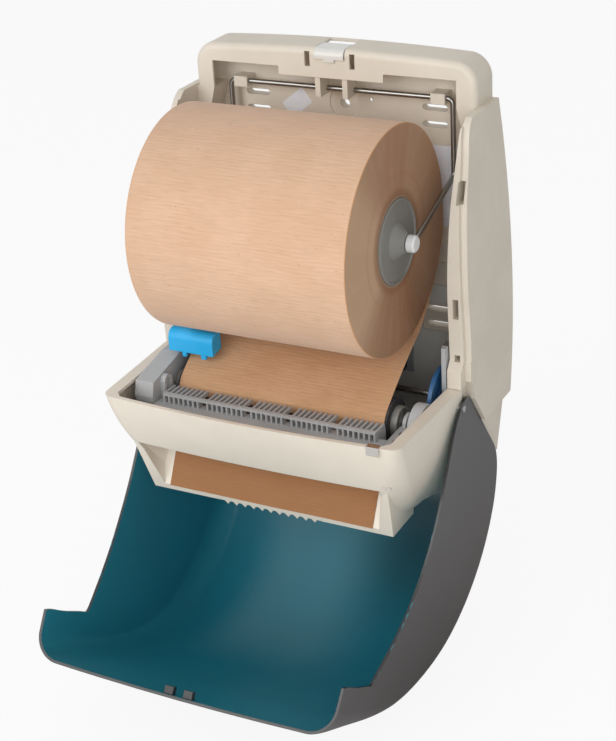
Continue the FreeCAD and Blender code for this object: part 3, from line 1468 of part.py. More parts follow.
LEDGE = ("ledge_up - ledge_thickness", "ledge_up")
block_plate = box("block_plate", ("ledge_half + seat_gap", "block_outer"), ("-ledge_front", "-block_rear"), LEDGE)
block_tub = cut(
    "block_tub",
    box("block_body", ("block_inner", "block_outer"), ("-block_front", "-block_rear"),
        ("block_bottom", "ledge_up - ledge_thickness / 2")),
    box("block_room", ("block_inner + block_wall", "block_outer - block_wall"),
        ("-block_front + block_wall", "-block_rear - block_wall"), ("block_bottom - 1", LEDGE[0])))
housing = cut(
    "housing",
    cylinder("housing_round", "x", "housing_inner", AXIS, "housing_radius", "block_outer - housing_inner"),
    cylinder("housing_hollow", "x", "housing_inner + block_wall", AXIS, "housing_radius - block_wall",
             "block_outer - housing_inner - 2 * block_wall"),
    box("housing_foot", ("housing_inner - 1", "block_outer + 1"),
        ("-drive_ahead - housing_radius - 1", "-drive_ahead + housing_radius + 1"),
        ("drive_up - housing_radius - 1", LEDGE[0])))
bearing_boss = cylinder("bearing_boss", "x", "block_inner", AXIS, "boss_radius", "bush_depth + 0.2")
windows = [
    box(f"block_window_{index}", ("housing_inner - 1 - block_window * 0.8", "housing_inner - 1"),
        (f"-block_window_first - {index} * block_window_pitch - block_window / 2",
         f"-block_window_first - {index} * block_window_pitch + block_window / 2"),
        ("ledge_up - ledge_thickness - 1", "ledge_up + 1"))
    for index in range(3)
]
node("bearing_block", cut(
    "block_cut", fuse("block_solid", block_plate, block_tub, housing, bearing_boss),
    cylinder("bush_clear", "x", "ledge_half", AXIS, "bush_flange_radius + seat_gap", "block_inner - ledge_half"),
    cylinder("right_bush_bore", "x", "block_inner - 1", AXIS, "bush_radius + running_gap",
             "bush_depth + 2"),
    *windows))

post = box("post", ("post_inner", "post_outer"), ("-rod_ahead - post_width / 2", "-rod_ahead + post_width / 2"),
           ("bracket_low", "post_top"))
post_arm = box("post_arm", ("post_inner", "post_outer"), ("-rod_ahead", "-panel_ahead - module_back"),
               ("bracket_low", "bracket_high"))
post_link = box("post_link", ("disc_at + disc_thickness / 2 + 1", "post_outer"),
                ("-block_rear", "-rod_ahead - post_width / 2 + 1"),
                ("block_bottom - 4", "block_bottom + 2"))
node("roller_post", cut("post_cut", fuse("post_solid", post, post_arm, post_link),
                        cylinder("post_bore", "x", "post_inner - 1", ("-rod_ahead", "rod_up"),
                                 "rod_radius + running_gap", "post_outer - post_inner + 2")))
strap_view = outline(
    "strap_view", "XZ",
    ("post_inner - strap_thickness", "post_top - 14"), ("post_inner", "post_top - 14"),
    ("post_inner", "post_top"), ("post_outer", "post_top"), ("post_outer", "post_top - 14"),
    ("post_outer + strap_thickness", "post_top - 14"),
    ("post_outer + strap_thickness", "post_top + strap_thickness"),
    ("post_inner - strap_thickness", "post_top + strap_thickness"), offset="-rod_ahead + 6")
node("post_strap", extrude("strap", strap_view, "12"))


# Back plate of the mechanism with the board's stand-offs

back_plate = box("back_plate", ("-rail_inner_half + 2", "rail_inner_half - 1.2"),
                 ("-panel_ahead - module_back", "-panel_ahead - 0.0"), ("case_floor + wall + 1", "module_back_top"))
BOARD_SPOTS = [
    (across, up) for across in ("-board_half + 5", "board_half - 5")
    for up in ("board_low + 5", "board_high - 5")
]
standoffs = [
    cylinder(f"standoff_{index}", "y", "-panel_ahead - module_back - standoff", (across, up), "3",
             "standoff + 1")
    for index, (across, up) in enumerate(BOARD_SPOTS)
]
plate_windows = [
    box(f"plate_window_{side}", (f"{across} - 16", f"{across} + 16"), ("-panel_ahead - 5", "-panel_ahead + 1"),
        ("-slot_spacing_z / 2 - 6", "-slot_spacing_z / 2 + 22"))
    for side, across in (("left", "-slot_spacing_x / 2"), ("right", "slot_spacing_x / 2"))
]
node("module_back", cut("back_cut", fuse("back_solid", back_plate, *standoffs), *plate_windows))


# Comb guide before the roller: a level ledge, upright ribs with fingers, and a bar on their tops

rib_view = outline(
    "rib_view", "YZ",
    ("-comb_front", "ledge_up - ledge_thickness / 2"), ("-comb_front", "comb_up - 1"),
    ("-comb_front + 1", "comb_up"), ("-comb_rear", "comb_up - 0.5"),
    ("-comb_rear", "comb_up - finger_height"), ("-ledge_rear", "comb_up - finger_height"),
    ("-ledge_rear", "ledge_up - ledge_thickness / 2"),
    offset="-rib_pitch * (rib_count - 1) / 2 - rib_width / 2")
first_rib = extrude("first_rib", rib_view, "rib_width")
ribs = doc.addObject("Part::Feature", "ribs")
doc.recompute()
middle_rib = (int(number("rib_count")) - 1) // 2
GAP_RIBS = (int(number("rib_gap_inner")), int(number("rib_gap_outer")))
ribs.Shape = Part.makeCompound([
    first_rib.Shape.translated(Vector(index * number("rib_pitch"), 0, 0))
    for index in range(int(number("rib_count"))) if abs(index - middle_rib) not in GAP_RIBS
])
comb_half = "(rib_pitch * (rib_count - 1) / 2 + rib_width / 2)"
comb_bar = box("comb_bar", (f"-{comb_half}", comb_half), ("-comb_front", "-comb_front + comb_bar_depth"),
               ("comb_up - comb_bar_height", "comb_up - 0.2"))
ledge = box("ledge", ("-ledge_half", "ledge_half"), ("-ledge_front", "-ledge_rear"), LEDGE)
ledge_wing = box("ledge_wing", ("-ledge_end", "-ledge_half + 1"),
                 ("-ledge_front", "-gearcase_nose - seat_gap"), LEDGE)
node("comb_guide", fuse("guide", ledge, ledge_wing, comb_bar, ribs))


# Pinch roller in front of the drive roller

PINCH_REACH = "(drive_radius + 2 * paper_gap + paper_thickness + pinch_radius)"
PINCH = {
    "ahead": f"drive_ahead - {PINCH_REACH} * cos(pinch_angle)",
    "up": f"drive_up + {PINCH_REACH} * sin(pinch_angle)",
}
PINCH_AXIS = (f"-({PINCH['ahead']})", PINCH["up"])
node("pinch_shaft", turned(
    "pinch_axle", ("-pinch_half", "0"), ("-pinch_half", "pinch_shaft_radius"),
    ("pinch_half", "pinch_shaft_radius"), ("pinch_half", "0"), **PINCH))
node("pinch_rollers", group("pinch_set", *[
    turned(f"pinch_{index}",
           ("-pinch_roller_width / 2", "pinch_shaft_radius + running_gap"),
           ("-pinch_roller_width / 2", "pinch_radius - 0.8"), ("-pinch_roller_width / 2 + 0.8", "pinch_radius"),
           ("pinch_roller_width / 2 - 0.8", "pinch_radius"), ("pinch_roller_width / 2", "pinch_radius - 0.8"),
           ("pinch_roller_width / 2", "pinch_shaft_radius + running_gap"),
           x=f"({index} - 1.5) * pinch_roller_pitch", **PINCH)
    for index in range(4)]))
arms = [
    box(f"pinch_arm_{side}", span, (f"{PINCH_AXIS[0]} - 5", f"{PINCH_AXIS[0]} + 5"),
        (f"{PINCH_AXIS[1]} - 5", "comb_up - finger_height - seat_gap"))
    for side, span in (("left", ("-pinch_half - 1.2", "-pinch_half + 1.3")),
                       ("right", ("pinch_half - 1.3", "pinch_half + 1.2")))
]
node("pinch_brackets", cut("pinch_arms", group("pinch_arm_set", *arms),
                           cylinder("pinch_bore", "x", "-pinch_half - 2", PINCH_AXIS,
                                    "pinch_shaft_radius + running_gap", "2 * pinch_half + 4")))


# Paper that leaves the back of the roll, wraps the drive roller and rests on the lip

wrap = number("drive_radius + paper_gap + paper_thickness / 2")


def yz(ahead, up):
    return Vector(0, number(ahead), number(up))


def around(axis, radius, degrees):
    turn = math.radians(degrees)
    return yz(*axis) + Vector(0, math.cos(turn), math.sin(turn)) * radius


def on_roll(degrees):
    return around(ROLL, number("roll_radius + paper_gap + paper_thickness / 2"), degrees)


def on_roller(degrees):
    return around(AXIS, wrap, degrees)


leave, part, meet = number("leave_angle"), number("part_angle"), number("meet_angle")
ramp_top, ramp_foot = yz("-throat_ahead", "throat_up"), yz("-lip_ahead", "lip_up")
slope = (ramp_foot - ramp_top).normalize()
lift = Vector(0, slope.z, -slope.y) * number("paper_gap + paper_thickness / 2")
front = on_roller(180)
along = (front.y - (ramp_top + lift).y) / slope.y
bend = ramp_top + lift + slope * along
end = ramp_foot + lift + slope * 0.6
turn_down = bent_wire([front, bend, end], 14)
runs = [
    Part.Arc(on_roll(leave), on_roll((leave + part) / 2), on_roll(part)).toShape(),
    Part.Arc(on_roll(part), yz("-sag_high_ahead", "sag_high_up"), yz("-sag_ahead", "sag_up")).toShape(),
    Part.Arc(yz("-sag_ahead", "sag_up"), yz("-sag_low_ahead", "sag_low_up"), on_roller(meet)).toShape(),
    Part.Arc(on_roller(meet), on_roller((meet + 180) / 2), front).toShape(),
] + turn_down.Edges


def sheet_side(side):
    """One face of the sheet: a smooth curve half its thickness away from the middle line."""
    points = []
    for order, run in enumerate(runs):
        count = max(2, int(run.Length / 4))
        for index in range(count + (order == len(runs) - 1)):
            at = run.FirstParameter + (run.LastParameter - run.FirstParameter) * index / count
            way = run.tangentAt(at).normalize()
            points.append(run.valueAt(at) + Vector(0, way.z, -way.y) * side * sheet_half)
    curve = Part.BSplineCurve()
    curve.interpolate(points)
    return curve.toShape(), points[0], points[-1]


sheet_half = number("paper_thickness") / 2
upper, upper_start, upper_end = sheet_side(1)
lower, lower_start, lower_end = sheet_side(-1)
web_face = Part.Face(Part.Wire(Part.__sortEdges__([
    upper, Part.makeLine(upper_end, lower_end), lower, Part.makeLine(lower_start, upper_start)])))
web = web_face.extrude(Vector(number("roll_width"), 0, 0))
web.translate(Vector(-number("roll_width") / 2, 0, 0))
node("paper_web", feature("web", web))


# Transfer lever, its rod and its disc

LEVER_FRONT, LEVER_REAR = "-lever_front", "-lever_rear"
LEVER_BEND = "lever_round * (1 - sqrt(0.5))"
lever_view = outline(
    "lever_view", "YZ",
    (LEVER_FRONT, "lever_lip"), (LEVER_FRONT, "lever_top - lever_round"),
    (f"{LEVER_FRONT} + {LEVER_BEND}", f"lever_top - {LEVER_BEND}", f"{LEVER_FRONT} + lever_round", "lever_top"),
    (LEVER_REAR, "lever_top"), (LEVER_REAR, "lever_bottom"), offset="lever_left")
lever_body = extrude("lever_body", lever_view, "lever_right - lever_left")
lever_hollow = box("lever_hollow", ("lever_left + lever_wall", "lever_right - lever_wall"),
                   (f"{LEVER_FRONT} + lever_wall", f"{LEVER_REAR} - lever_wall"),
                   ("lever_lip - 1", "lever_top - lever_round"))
legs = [
    box(f"lever_leg_{side}", (start, f"{start} + {wide}"), (LEVER_FRONT, f"{LEVER_FRONT} + 3"),
        ("leg_foot", "lever_bottom + 1"))
    for side, start, wide in (("left", "lever_left + 13.4", 4), ("right", "lever_right - 12.5", 5))
]
ROD = ("-rod_ahead", "rod_up")
arm_view = outline(
    "lever_arm_view", "YZ",
    (LEVER_FRONT, "lever_bottom"), (LEVER_FRONT, "lever_bottom + 8"), (LEVER_REAR, "lever_bottom + 8"),
    ("-rod_ahead + 4", "rod_up + 3"), ("-rod_ahead + 3", "rod_up - 4"), ("-rod_ahead - 4", "rod_up - 3"),
    (f"{LEVER_REAR} - 2", "lever_bottom"), offset="-arm_outer")
lever_arm = extrude("lever_arm", arm_view, "arm_width")
arm_boss = cylinder("arm_boss", "x", "-arm_outer", ROD, "6", "arm_width")
node("transfer_lever", cut("lever_cut", fuse("lever_solid", cut("lever_shell", lever_body, lever_hollow),
                                             lever_arm, arm_boss, *legs),
                           cylinder("lever_bore", "x", "-arm_outer - 1", ROD,
                                    "rod_radius + running_gap", "arm_width + 2")))
node("transfer_rod", cylinder("cross_rod", "x", "-gearcase_outer + gearcase_wall + 1.5", ROD, "rod_radius",
                              "gearcase_outer - gearcase_wall - 1.5 + post_outer - 0.5"))
disc_blank = turned(
    "disc_turning", ("disc_at - disc_thickness / 2", "rod_radius + running_gap"),
    ("disc_at - disc_thickness / 2", "9"), ("disc_at - 0.8", "10"), ("disc_at - 0.8", "disc_radius - 3"),
    ("disc_at - disc_thickness / 2", "disc_radius - 2.5"), ("disc_at - disc_thickness / 2", "disc_radius"),
    ("disc_at + disc_thickness / 2", "disc_radius"), ("disc_at + disc_thickness / 2", "disc_radius - 2.5"),
    ("disc_at + 0.8", "disc_radius - 3"), ("disc_at + 0.8", "10"), ("disc_at + disc_thickness / 2", "9"),
    ("disc_at + disc_thickness / 2", "rod_radius + running_gap"), ahead="rod_ahead", up="rod_up")
node("transfer_disc", disc_blank)


# Batteries and their box

battery_x = "(cell_length * cell_count / 2)"
battery_up = "(case_floor + wall + battery_wall + 0.4 + cell_radius + seat_gap)"
cells = []
for index in range(4):
    foot = f"-{battery_x} + {index} * cell_length"
    cells.append(turned(
        f"cell_{index}", (foot, "0"), (foot, "cell_radius - 1"), (f"{foot} + 1", "cell_radius"),
        (f"{foot} + cell_length - 4", "cell_radius"), (f"{foot} + cell_length - 2", "cell_radius - 1.2"),
        (f"{foot} + cell_length - 2", "4.7"), (f"{foot} + cell_length", "4.5"), (f"{foot} + cell_length", "0"),
        ahead="battery_ahead", up=battery_up))
node("batteries", group("cells", *cells))
depth = "(cell_radius + seat_gap)"
box_low = f"{battery_up} - {depth} - battery_wall"
battery_outer = box("battery_outer", (f"-{battery_x} - 4 - battery_wall", f"{battery_x} + 4 + battery_wall"),
                    (f"-battery_ahead - {depth} - battery_wall", f"-battery_ahead + {depth} + battery_wall"),
                    (box_low, f"{battery_up} + {depth}"))
battery_inner = box("battery_inner", (f"-{battery_x} - 4", f"{battery_x} + 4"),
                    (f"-battery_ahead - {depth}", f"-battery_ahead + {depth}"),
                    (f"{battery_up} - {depth}", f"{battery_up} + {depth} + 5"))
battery_feet = [
    box(f"battery_foot_{index}", (f"{at} - 2", f"{at} + 2"),
        (f"-battery_ahead + {depth} + battery_wall - 1", "-panel_ahead - module_back"),
        (box_low, f"{box_low} + 26"))
    for index, at in enumerate(("-110", "0", "110"))
]
node("battery_box", fuse("battery_cup", cut("battery_tub", battery_outer, battery_inner), *battery_feet))
lid = box("lid", (f"-{battery_x} - 6", f"{battery_x} + 6"),
          (f"-battery_ahead - {depth} - battery_wall", f"-battery_ahead + {depth} + battery_wall"),
          (f"{battery_up} + {depth}", f"{battery_up} + {depth} + 2"))
lid_grips = [
    box(f"lid_grip_{index}", (f"-12 + {index} * 6", f"-10 + {index} * 6"), ("-battery_ahead - 8", "-battery_ahead + 8"),
        (f"{battery_up} + {depth} + 1", f"{battery_up} + {depth} + 3.2"))
    for index in range(5)
]
node("battery_lid", fuse("lid_solid", lid, *lid_grips))
contacts = []
for side, inner, outer in (("left", f"-{battery_x}", f"-{battery_x} - 4"),
                           ("right", f"{battery_x}", f"{battery_x} + 4")):
    plate = box(f"contact_plate_{side}", ("0", "0.6"), ("-battery_ahead - 8", "-battery_ahead + 8"),
                (f"{battery_up} - 10", f"{battery_up} + 10"))
    plate.setExpression(".Placement.Base.x", bound(outer if side == "left" else f"{outer} - 0.6"))
    dome = turned(f"contact_dome_{side}", (outer, "0"), (outer, "6"), (inner, "2.5"), (inner, "0"),
                  ahead="battery_ahead", up=battery_up)
    contacts.append(fuse(f"contact_{side}", plate, dome))
node("battery_contacts", group("contact_pair", *contacts))


# Control board and its parts

BOARD_BACK = "-panel_ahead - module_back - standoff"
BOARD_FACE = f"{BOARD_BACK} - board_thickness"
node("control_board", box("board", ("-board_half", "board_half"), (BOARD_FACE, BOARD_BACK),
                          ("board_low", "board_high")))
BOARD_PARTS = (
    ("chip", "-8", "8", "-136", "-120", "2.2"), ("driver", "22", "32", "-132", "-124", "2"),
    ("connector", "-56", "-34", "-146", "-138", "9"), ("plug", "38", "56", "-146", "-138", "9"),
    ("relay", "-52", "-36", "-124", "-112", "12"), ("switch", "44", "54", "-118", "-108", "6"),
)
parts = [
    box(f"board_{tag}", (left, right), (f"{BOARD_FACE} - {tall}", BOARD_FACE), (low, high))
    for tag, left, right, low, high, tall in BOARD_PARTS
]
parts += [
    cylinder(f"capacitor_{index}", "y", f"{BOARD_FACE} - 13", (at, "-113"), "4", "13")
    for index, at in enumerate(("-24", "-14", "16", "28"))
]
node("board_parts", group("board_set", *parts))


# Hand sensor under the tray and the two status lights

sensor_plate = box("sensor_plate", ("-sensor_half + seat_gap", "sensor_half - seat_gap"),
                   ("-sensor_ahead + seat_gap", "-sensor_ahead + sensor_depth - seat_gap"),
                   ("foot_up + 0.2", "foot_up + wall"))
sensor_flange = box("sensor_flange", ("-sensor_half - 4", "sensor_half + 4"),
                    ("-sensor_ahead + seat_gap - 2", "-sensor_ahead + sensor_depth + 2"),
                    ("foot_up + wall", "foot_up + wall + 1.5"))
sensor_posts = [
    box(f"sensor_post_{side}", (f"{at} - 1.5", f"{at} + 1.5"),
        ("-sensor_ahead + 2", "-sensor_ahead + sensor_depth - 2"),
        ("foot_up + wall + 1", "foot_up + wall + 8"))
    for side, at in (("left", "-sensor_half"), ("right", "sensor_half"))
]
node("sensor_window", fuse("sensor_solid", sensor_plate, sensor_flange, *sensor_posts))
sensor_pcb = box("sensor_pcb", ("-sensor_half - 2", "sensor_half + 2"),
                 ("-sensor_ahead", "-sensor_ahead + sensor_depth"),
                 ("foot_up + wall + 8", "foot_up + wall + 8 + board_thickness"))
eyes = [
    cylinder(f"sensor_eye_{side}", "z", "foot_up + wall + 2", (at, "-sensor_ahead + sensor_depth / 2"), "2.5", "6")
    for side, at in (("left", "-8"), ("right", "8"))
]
node("sensor_board", group("sensor_set", sensor_pcb, *eyes))
node("status_lights", group("light_pair", *[
    fuse(f"light_{tag}",
         cylinder(f"light_stem_{tag}", "y", "-light_ahead", (across, "light_up"), "light_radius", "8.6"),
         cylinder(f"light_flange_{tag}", "y", "-light_ahead + 7.2", (across, "light_up"), "light_radius + 0.8", "1"))
    for tag, across in LIGHT_SPOTS]))


# Tear comb below the lip, static clip on the rim, hinge pins and case screws

comb_parts = [box("tear_bar", ("-tear_half", "tear_half"), ("0", "tear_thickness"),
                  ("-tear_height", "-tear_edge - tear_gap"))]
for index in range(11):
    at = f"({index} - (tooth_count - 1) / 2) * tooth_pitch"
    tooth = outline(f"tooth_{index}_view", "XZ", (f"{at} - tooth_width / 2", "-tear_height + 0.5"),
                    (f"{at}", "-tear_height - tooth_height"), (f"{at} + tooth_width / 2", "-tear_height + 0.5"),
                    offset="tear_thickness")
    comb_parts.append(extrude(f"tooth_{index}", tooth, "tear_thickness"))
node("tear_comb", lean(fuse("tear", *comb_parts)))

CLIP_TURN = "(clip_strip_at - clip_strip_half) / (rim_half - rim_corner)"
CLIP_BACK = f"-rim_ahead + rim_crown * ({CLIP_TURN})^2 - running_gap"
clip_view = outline(
    "static_clip_view", "YZ",
    (CLIP_BACK, "rim_up - clip_strip_drop"), (CLIP_BACK, "rim_up + 0.1"),
    (f"{CLIP_BACK} + 5.5", "rim_up + 0.1"), (f"{CLIP_BACK} + 5.5", "rim_up + 0.1 + clip_strip"),
    (f"{CLIP_BACK} - clip_strip", "rim_up + 0.1 + clip_strip"),
    (f"{CLIP_BACK} - clip_strip", "rim_up - clip_strip_drop"),
    offset="clip_strip_at - clip_strip_half")
node("static_clip", extrude("clip_body", clip_view, "2 * clip_strip_half"))

pin_right = cylinder("pin_right", "x", "hinge_boss_inner + 0.5", HINGE, "hinge_pin_radius",
                     "case_low_half + pin_proud - hinge_boss_inner - 0.5")
node("hinge_pins", group("pin_pair", pin_right, mirror("pin_left", pin_right)))

screws = []
for tag, across, up in SCREW_SPOTS:
    face = "-case_front_ahead + wall"
    stem = cylinder(f"case_stem_{tag}", "y", f"{face} - 12", (across, up), "screw_radius", "12.5")
    head = cylinder(f"case_head_{tag}", "y", face, (across, up), "screw_radius + 0.6", "screw_head")
    screws.append(fuse(f"case_screw_{tag}", stem, head))
node("case_screws", group("case_screw_set", *screws))


# Latch: a spring-loaded plate on the header whose rear edge holds the cover's catches

PLATE_TOP = "(header_top - latch_sink)"
PLATE_LOW = f"({PLATE_TOP} - latch_wall)"
INNER_BEND = "(latch_bend - latch_wall + 0.1)"
SKIRT = "(latch_ahead - latch_skirt)"
LATCH_BEND = "latch_bend * (1 - sqrt(0.5))"
latch_view = outline(
    "latch_view", "YZ",
    ("-hook_rear", "hook_top - latch_wall"), ("-hook_rear", "hook_top"),
    ("-hook_rear - hook_depth", "hook_top"), ("-hook_rear - hook_depth - hook_ramp", PLATE_TOP),
    ("-latch_ahead + latch_bend", PLATE_TOP),
    (f"-latch_ahead + {LATCH_BEND}", f"{PLATE_TOP} - {LATCH_BEND}",
     "-latch_ahead", f"{PLATE_TOP} - latch_bend"),
    ("-latch_ahead", "latch_skirt_low"), (f"-{SKIRT}", "latch_skirt_low"),
    (f"-{SKIRT}", f"{PLATE_LOW} - {INNER_BEND}"),
    (f"-{SKIRT} + {INNER_BEND} * (1 - sqrt(0.5))", f"{PLATE_LOW} - {INNER_BEND} * (1 - sqrt(0.5))",
     f"-{SKIRT} + {INNER_BEND}", PLATE_LOW),
    ("-hook_rear - hook_depth - hook_ramp - 0.8", PLATE_LOW),
    ("-hook_rear - hook_depth - 0.8", "hook_top - latch_wall"),
    offset="-latch_half")
latch_plate = extrude("latch_plate", latch_view, "2 * latch_half")
latch_tab = box("latch_tab", ("-tab_half", "tab_half"), ("-latch_ahead", f"-{SKIRT}"),
                ("tab_low", "latch_skirt_low + 1"))
latch_stem = box("latch_stem", ("-stem_half", "stem_half"), ("-stem_ahead", "-stem_ahead + stem_depth"),
                 ("stem_low", f"{PLATE_LOW} + 0.5"))
latch_ear = box("latch_ear", ("latch_half - latch_gap - 2", "latch_half + latch_ear"),
                ("-stem_ahead + stem_depth - 2", "-stem_ahead + stem_depth + 6"),
                (f"{PLATE_LOW} - 2.5", PLATE_LOW))
node("latch_button", fuse("latch", latch_plate, latch_tab, latch_stem, latch_ear,
                          mirror("latch_ear_left", latch_ear)))
helix = Part.makeHelix(number("(stem_low - spring_foot - 2 * spring_wire) / spring_turns"),
                       number("stem_low - spring_foot - 2 * spring_wire"),
                       number("spring_radius - spring_wire"))
coil_ring = Part.Wire(Part.makeCircle(number("spring_wire"),
                                      Vector(number("spring_radius - spring_wire"), 0, 0), Vector(0, 1, 0)))
coil = feature("coil", helix.makePipeShell([coil_ring], True, True))
node("latch_spring", place(coil, "0", "-header_ahead + wall + spring_radius + 1",
                           "spring_foot + spring_wire"))


# Checks and export

doc.recompute()
for made in doc.Objects:
    bad = [state for state in made.State if state in ("Invalid", "Error")]
    if bad:
        sys.exit(f"{made.Name} did not compute")
for made in NODES:
    if made.Shape.isNull() or not made.Shape.isValid():
        sys.exit(f"{made.Label} has no valid shape")
os.makedirs("parts", exist_ok=True)
for made in NODES:
    made.Shape.exportStep(f"parts/{made.Label}.step")
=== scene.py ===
import json
import math
import random

import bmesh
import bpy
from mathutils import Matrix, Vector, noise
from mathutils.bvhtree import BVHTree


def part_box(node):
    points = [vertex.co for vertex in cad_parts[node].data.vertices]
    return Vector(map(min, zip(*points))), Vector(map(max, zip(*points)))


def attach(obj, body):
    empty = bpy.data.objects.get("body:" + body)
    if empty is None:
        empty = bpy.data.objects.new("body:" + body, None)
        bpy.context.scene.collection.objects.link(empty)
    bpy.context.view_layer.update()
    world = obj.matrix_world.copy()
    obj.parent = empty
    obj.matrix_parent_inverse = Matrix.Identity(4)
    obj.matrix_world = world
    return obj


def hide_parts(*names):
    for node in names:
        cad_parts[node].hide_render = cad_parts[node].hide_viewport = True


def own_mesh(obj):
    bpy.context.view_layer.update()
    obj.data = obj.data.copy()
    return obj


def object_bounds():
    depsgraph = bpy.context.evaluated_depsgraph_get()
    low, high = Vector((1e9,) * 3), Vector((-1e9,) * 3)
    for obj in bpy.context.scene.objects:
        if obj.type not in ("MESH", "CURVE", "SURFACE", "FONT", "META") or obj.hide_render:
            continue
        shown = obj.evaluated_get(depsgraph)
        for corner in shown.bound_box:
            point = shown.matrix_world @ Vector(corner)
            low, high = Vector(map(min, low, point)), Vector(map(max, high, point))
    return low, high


bl_info = {
    "name": "Roll towel dispenser looks",
    "version": (1, 0, 0),
    "blender": (4, 5, 0),
    "location": "3D View > Sidebar > Towels",
    "description": "Dresses the packed roll towel dispenser: mouldings, paper, metal and stage",
    "category": "Object",
}

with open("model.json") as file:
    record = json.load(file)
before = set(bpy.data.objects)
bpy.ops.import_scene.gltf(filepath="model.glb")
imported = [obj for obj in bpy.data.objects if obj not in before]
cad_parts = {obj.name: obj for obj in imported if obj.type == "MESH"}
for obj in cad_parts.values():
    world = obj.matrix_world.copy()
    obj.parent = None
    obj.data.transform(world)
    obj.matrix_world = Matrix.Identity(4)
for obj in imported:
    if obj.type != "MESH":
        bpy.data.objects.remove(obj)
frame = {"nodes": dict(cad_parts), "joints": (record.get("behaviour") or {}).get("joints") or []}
CAD_BOX = [list(corner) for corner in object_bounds()]
NODES = frame["nodes"]
JOINTS = {joint["name"]: joint for joint in frame["joints"]}
HINGE = JOINTS["cover_hinge"]
ROLL_LOW, ROLL_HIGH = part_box("paper_roll")
ROLL_CENTRE = (ROLL_LOW + ROLL_HIGH) / 2
ROLL_RADIUS = (ROLL_HIGH.z - ROLL_LOW.z) / 2
MOUTH_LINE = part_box("drive_roller")[0].z


def linear(red, green, blue):
    """A colour of 0 to 255 a channel, as the shader's linear values."""
    return tuple(
        (c / 12.92 if c <= 0.04045 else ((c + 0.055) / 1.055) ** 2.4)
        for c in (red / 255, green / 255, blue / 255)
    )


# Sizes and colours that a user can change


def colour_property(name, description, rgb):
    return bpy.props.FloatVectorProperty(
        name=name, description=description, subtype="COLOR", size=3, min=0, max=1,
        default=linear(*rgb))


class MouldingColours(bpy.types.PropertyGroup):
    case: colour_property("Case", "Colour of the rear case", (226, 216, 200))
    tray: colour_property("Tray", "Colour of the lower tray", (236, 226, 210))
    module: colour_property("Module", "Colour of the grey drive module", (182, 184, 185))
    hub: colour_property("Hub", "Colour of the roll's end hubs", (128, 126, 120))
    lever: colour_property("Lever", "Colour of the transfer lever", (0, 180, 244))
    cover_inside: colour_property(
        "Cover inside", "Smoked tint that the cover shows inside", (52, 138, 156))
    cover_outside: colour_property(
        "Cover outside", "Smoked tint that the cover shows outside", (88, 87, 88))


class PaperSettings(bpy.types.PropertyGroup):
    wound: colour_property(
        "Wound towel", "Colour of the unbleached towel on the roll", (223, 182, 149))
    # Painted shade: the sheet's colour is the wound towel's colour made darker, for the shade it
    # hangs in under the roll.
    sheet: colour_property(
        "Sheet", "Colour of the single sheet below the roll", (204, 158, 116))
    wound_end: colour_property("Wound end", "Colour of the roll's end face", (198, 160, 126))
    core: colour_property("Core", "Colour of the board core", (150, 116, 84))
    crepe: bpy.props.FloatProperty(
        name="Crepe", description="Spacing of the crepe lines across the towel",
        default=0.0017, min=0.001, max=0.01, precision=4, unit="LENGTH")
    layer: bpy.props.FloatProperty(
        name="Layer relief", description="How far single turns stand proud at the roll's ends",
        default=0.00012, min=0, max=0.001, precision=5, unit="LENGTH")


class CoverSettings(bpy.types.PropertyGroup):
    edge: bpy.props.FloatProperty(
        name="Edge depth",
        description="Longest way through the wall that still counts as its skin",
        default=0.0028, min=0.001, max=0.02, precision=4, unit="LENGTH")


class LabelSettings(bpy.types.PropertyGroup):
    width: bpy.props.FloatProperty(
        name="Width", description="Width of the bare label beside the roll",
        default=0.048, min=0.01, max=0.1, precision=3, unit="LENGTH")
    height: bpy.props.FloatProperty(
        name="Height", description="Height of the bare label beside the roll",
        default=0.074, min=0.01, max=0.2, precision=3, unit="LENGTH")
    thickness: bpy.props.FloatProperty(
        name="Thickness", description="Thickness of the label stock",
        default=0.00025, min=0.0001, max=0.002, precision=5, unit="LENGTH")


class StageSettings(bpy.types.PropertyGroup):
    lens: bpy.props.FloatProperty(
        name="Lens", description="Focal length of the camera in millimetres",
        default=79.9, min=20, max=200, unit="CAMERA")
    key_power: bpy.props.FloatProperty(
        name="Key power", description="Power of the key light in watts",
        default=22, min=0, max=500, unit="POWER")


# Shader nodes and arithmetic


class Wire:
    """A socket that plain arithmetic can be written on."""

    def __init__(self, nodes, socket):
        self.nodes = nodes
        self.socket = socket

    def maths(self, operation, first, second=0.0):
        return self.nodes.add("ShaderNodeMath", {"operation": operation}, {0: first, 1: second})

    def __add__(self, other):
        return self.maths("ADD", self, other)

    __radd__ = __add__

    def __sub__(self, other):
        return self.maths("SUBTRACT", self, other)

    def __rsub__(self, other):
        return self.maths("SUBTRACT", other, self)

    def __mul__(self, other):
        return self.maths("MULTIPLY", self, other)

    __rmul__ = __mul__

    def __truediv__(self, other):
        return self.maths("DIVIDE", self, other)

    def __rtruediv__(self, other):
        return self.maths("DIVIDE", other, self)

    def __neg__(self):
        return self.maths("MULTIPLY", self, -1.0)


class NodeSet:
    """The nodes of a material or of the world, with one way to add any of them."""

    def __init__(self, tree):
        self.tree = tree

    def feed(self, socket, value):
        if isinstance(value, Wire):
            self.tree.links.new(value.socket, socket)
        elif socket.type == "RGBA":
            socket.default_value = (*value[:3], 1.0)
        else:
            socket.default_value = value

    def add(self, kind, settings=None, sockets=None, out=0):
        """A node of one kind, with its settings set before the values or links of its sockets."""
        node = self.tree.nodes.new(kind)
        for key, value in (settings or {}).items():
            setattr(node, key, value)
        for key, value in (sockets or {}).items():
            self.feed(node.inputs[key], value)
        return Wire(self, node.outputs[out])


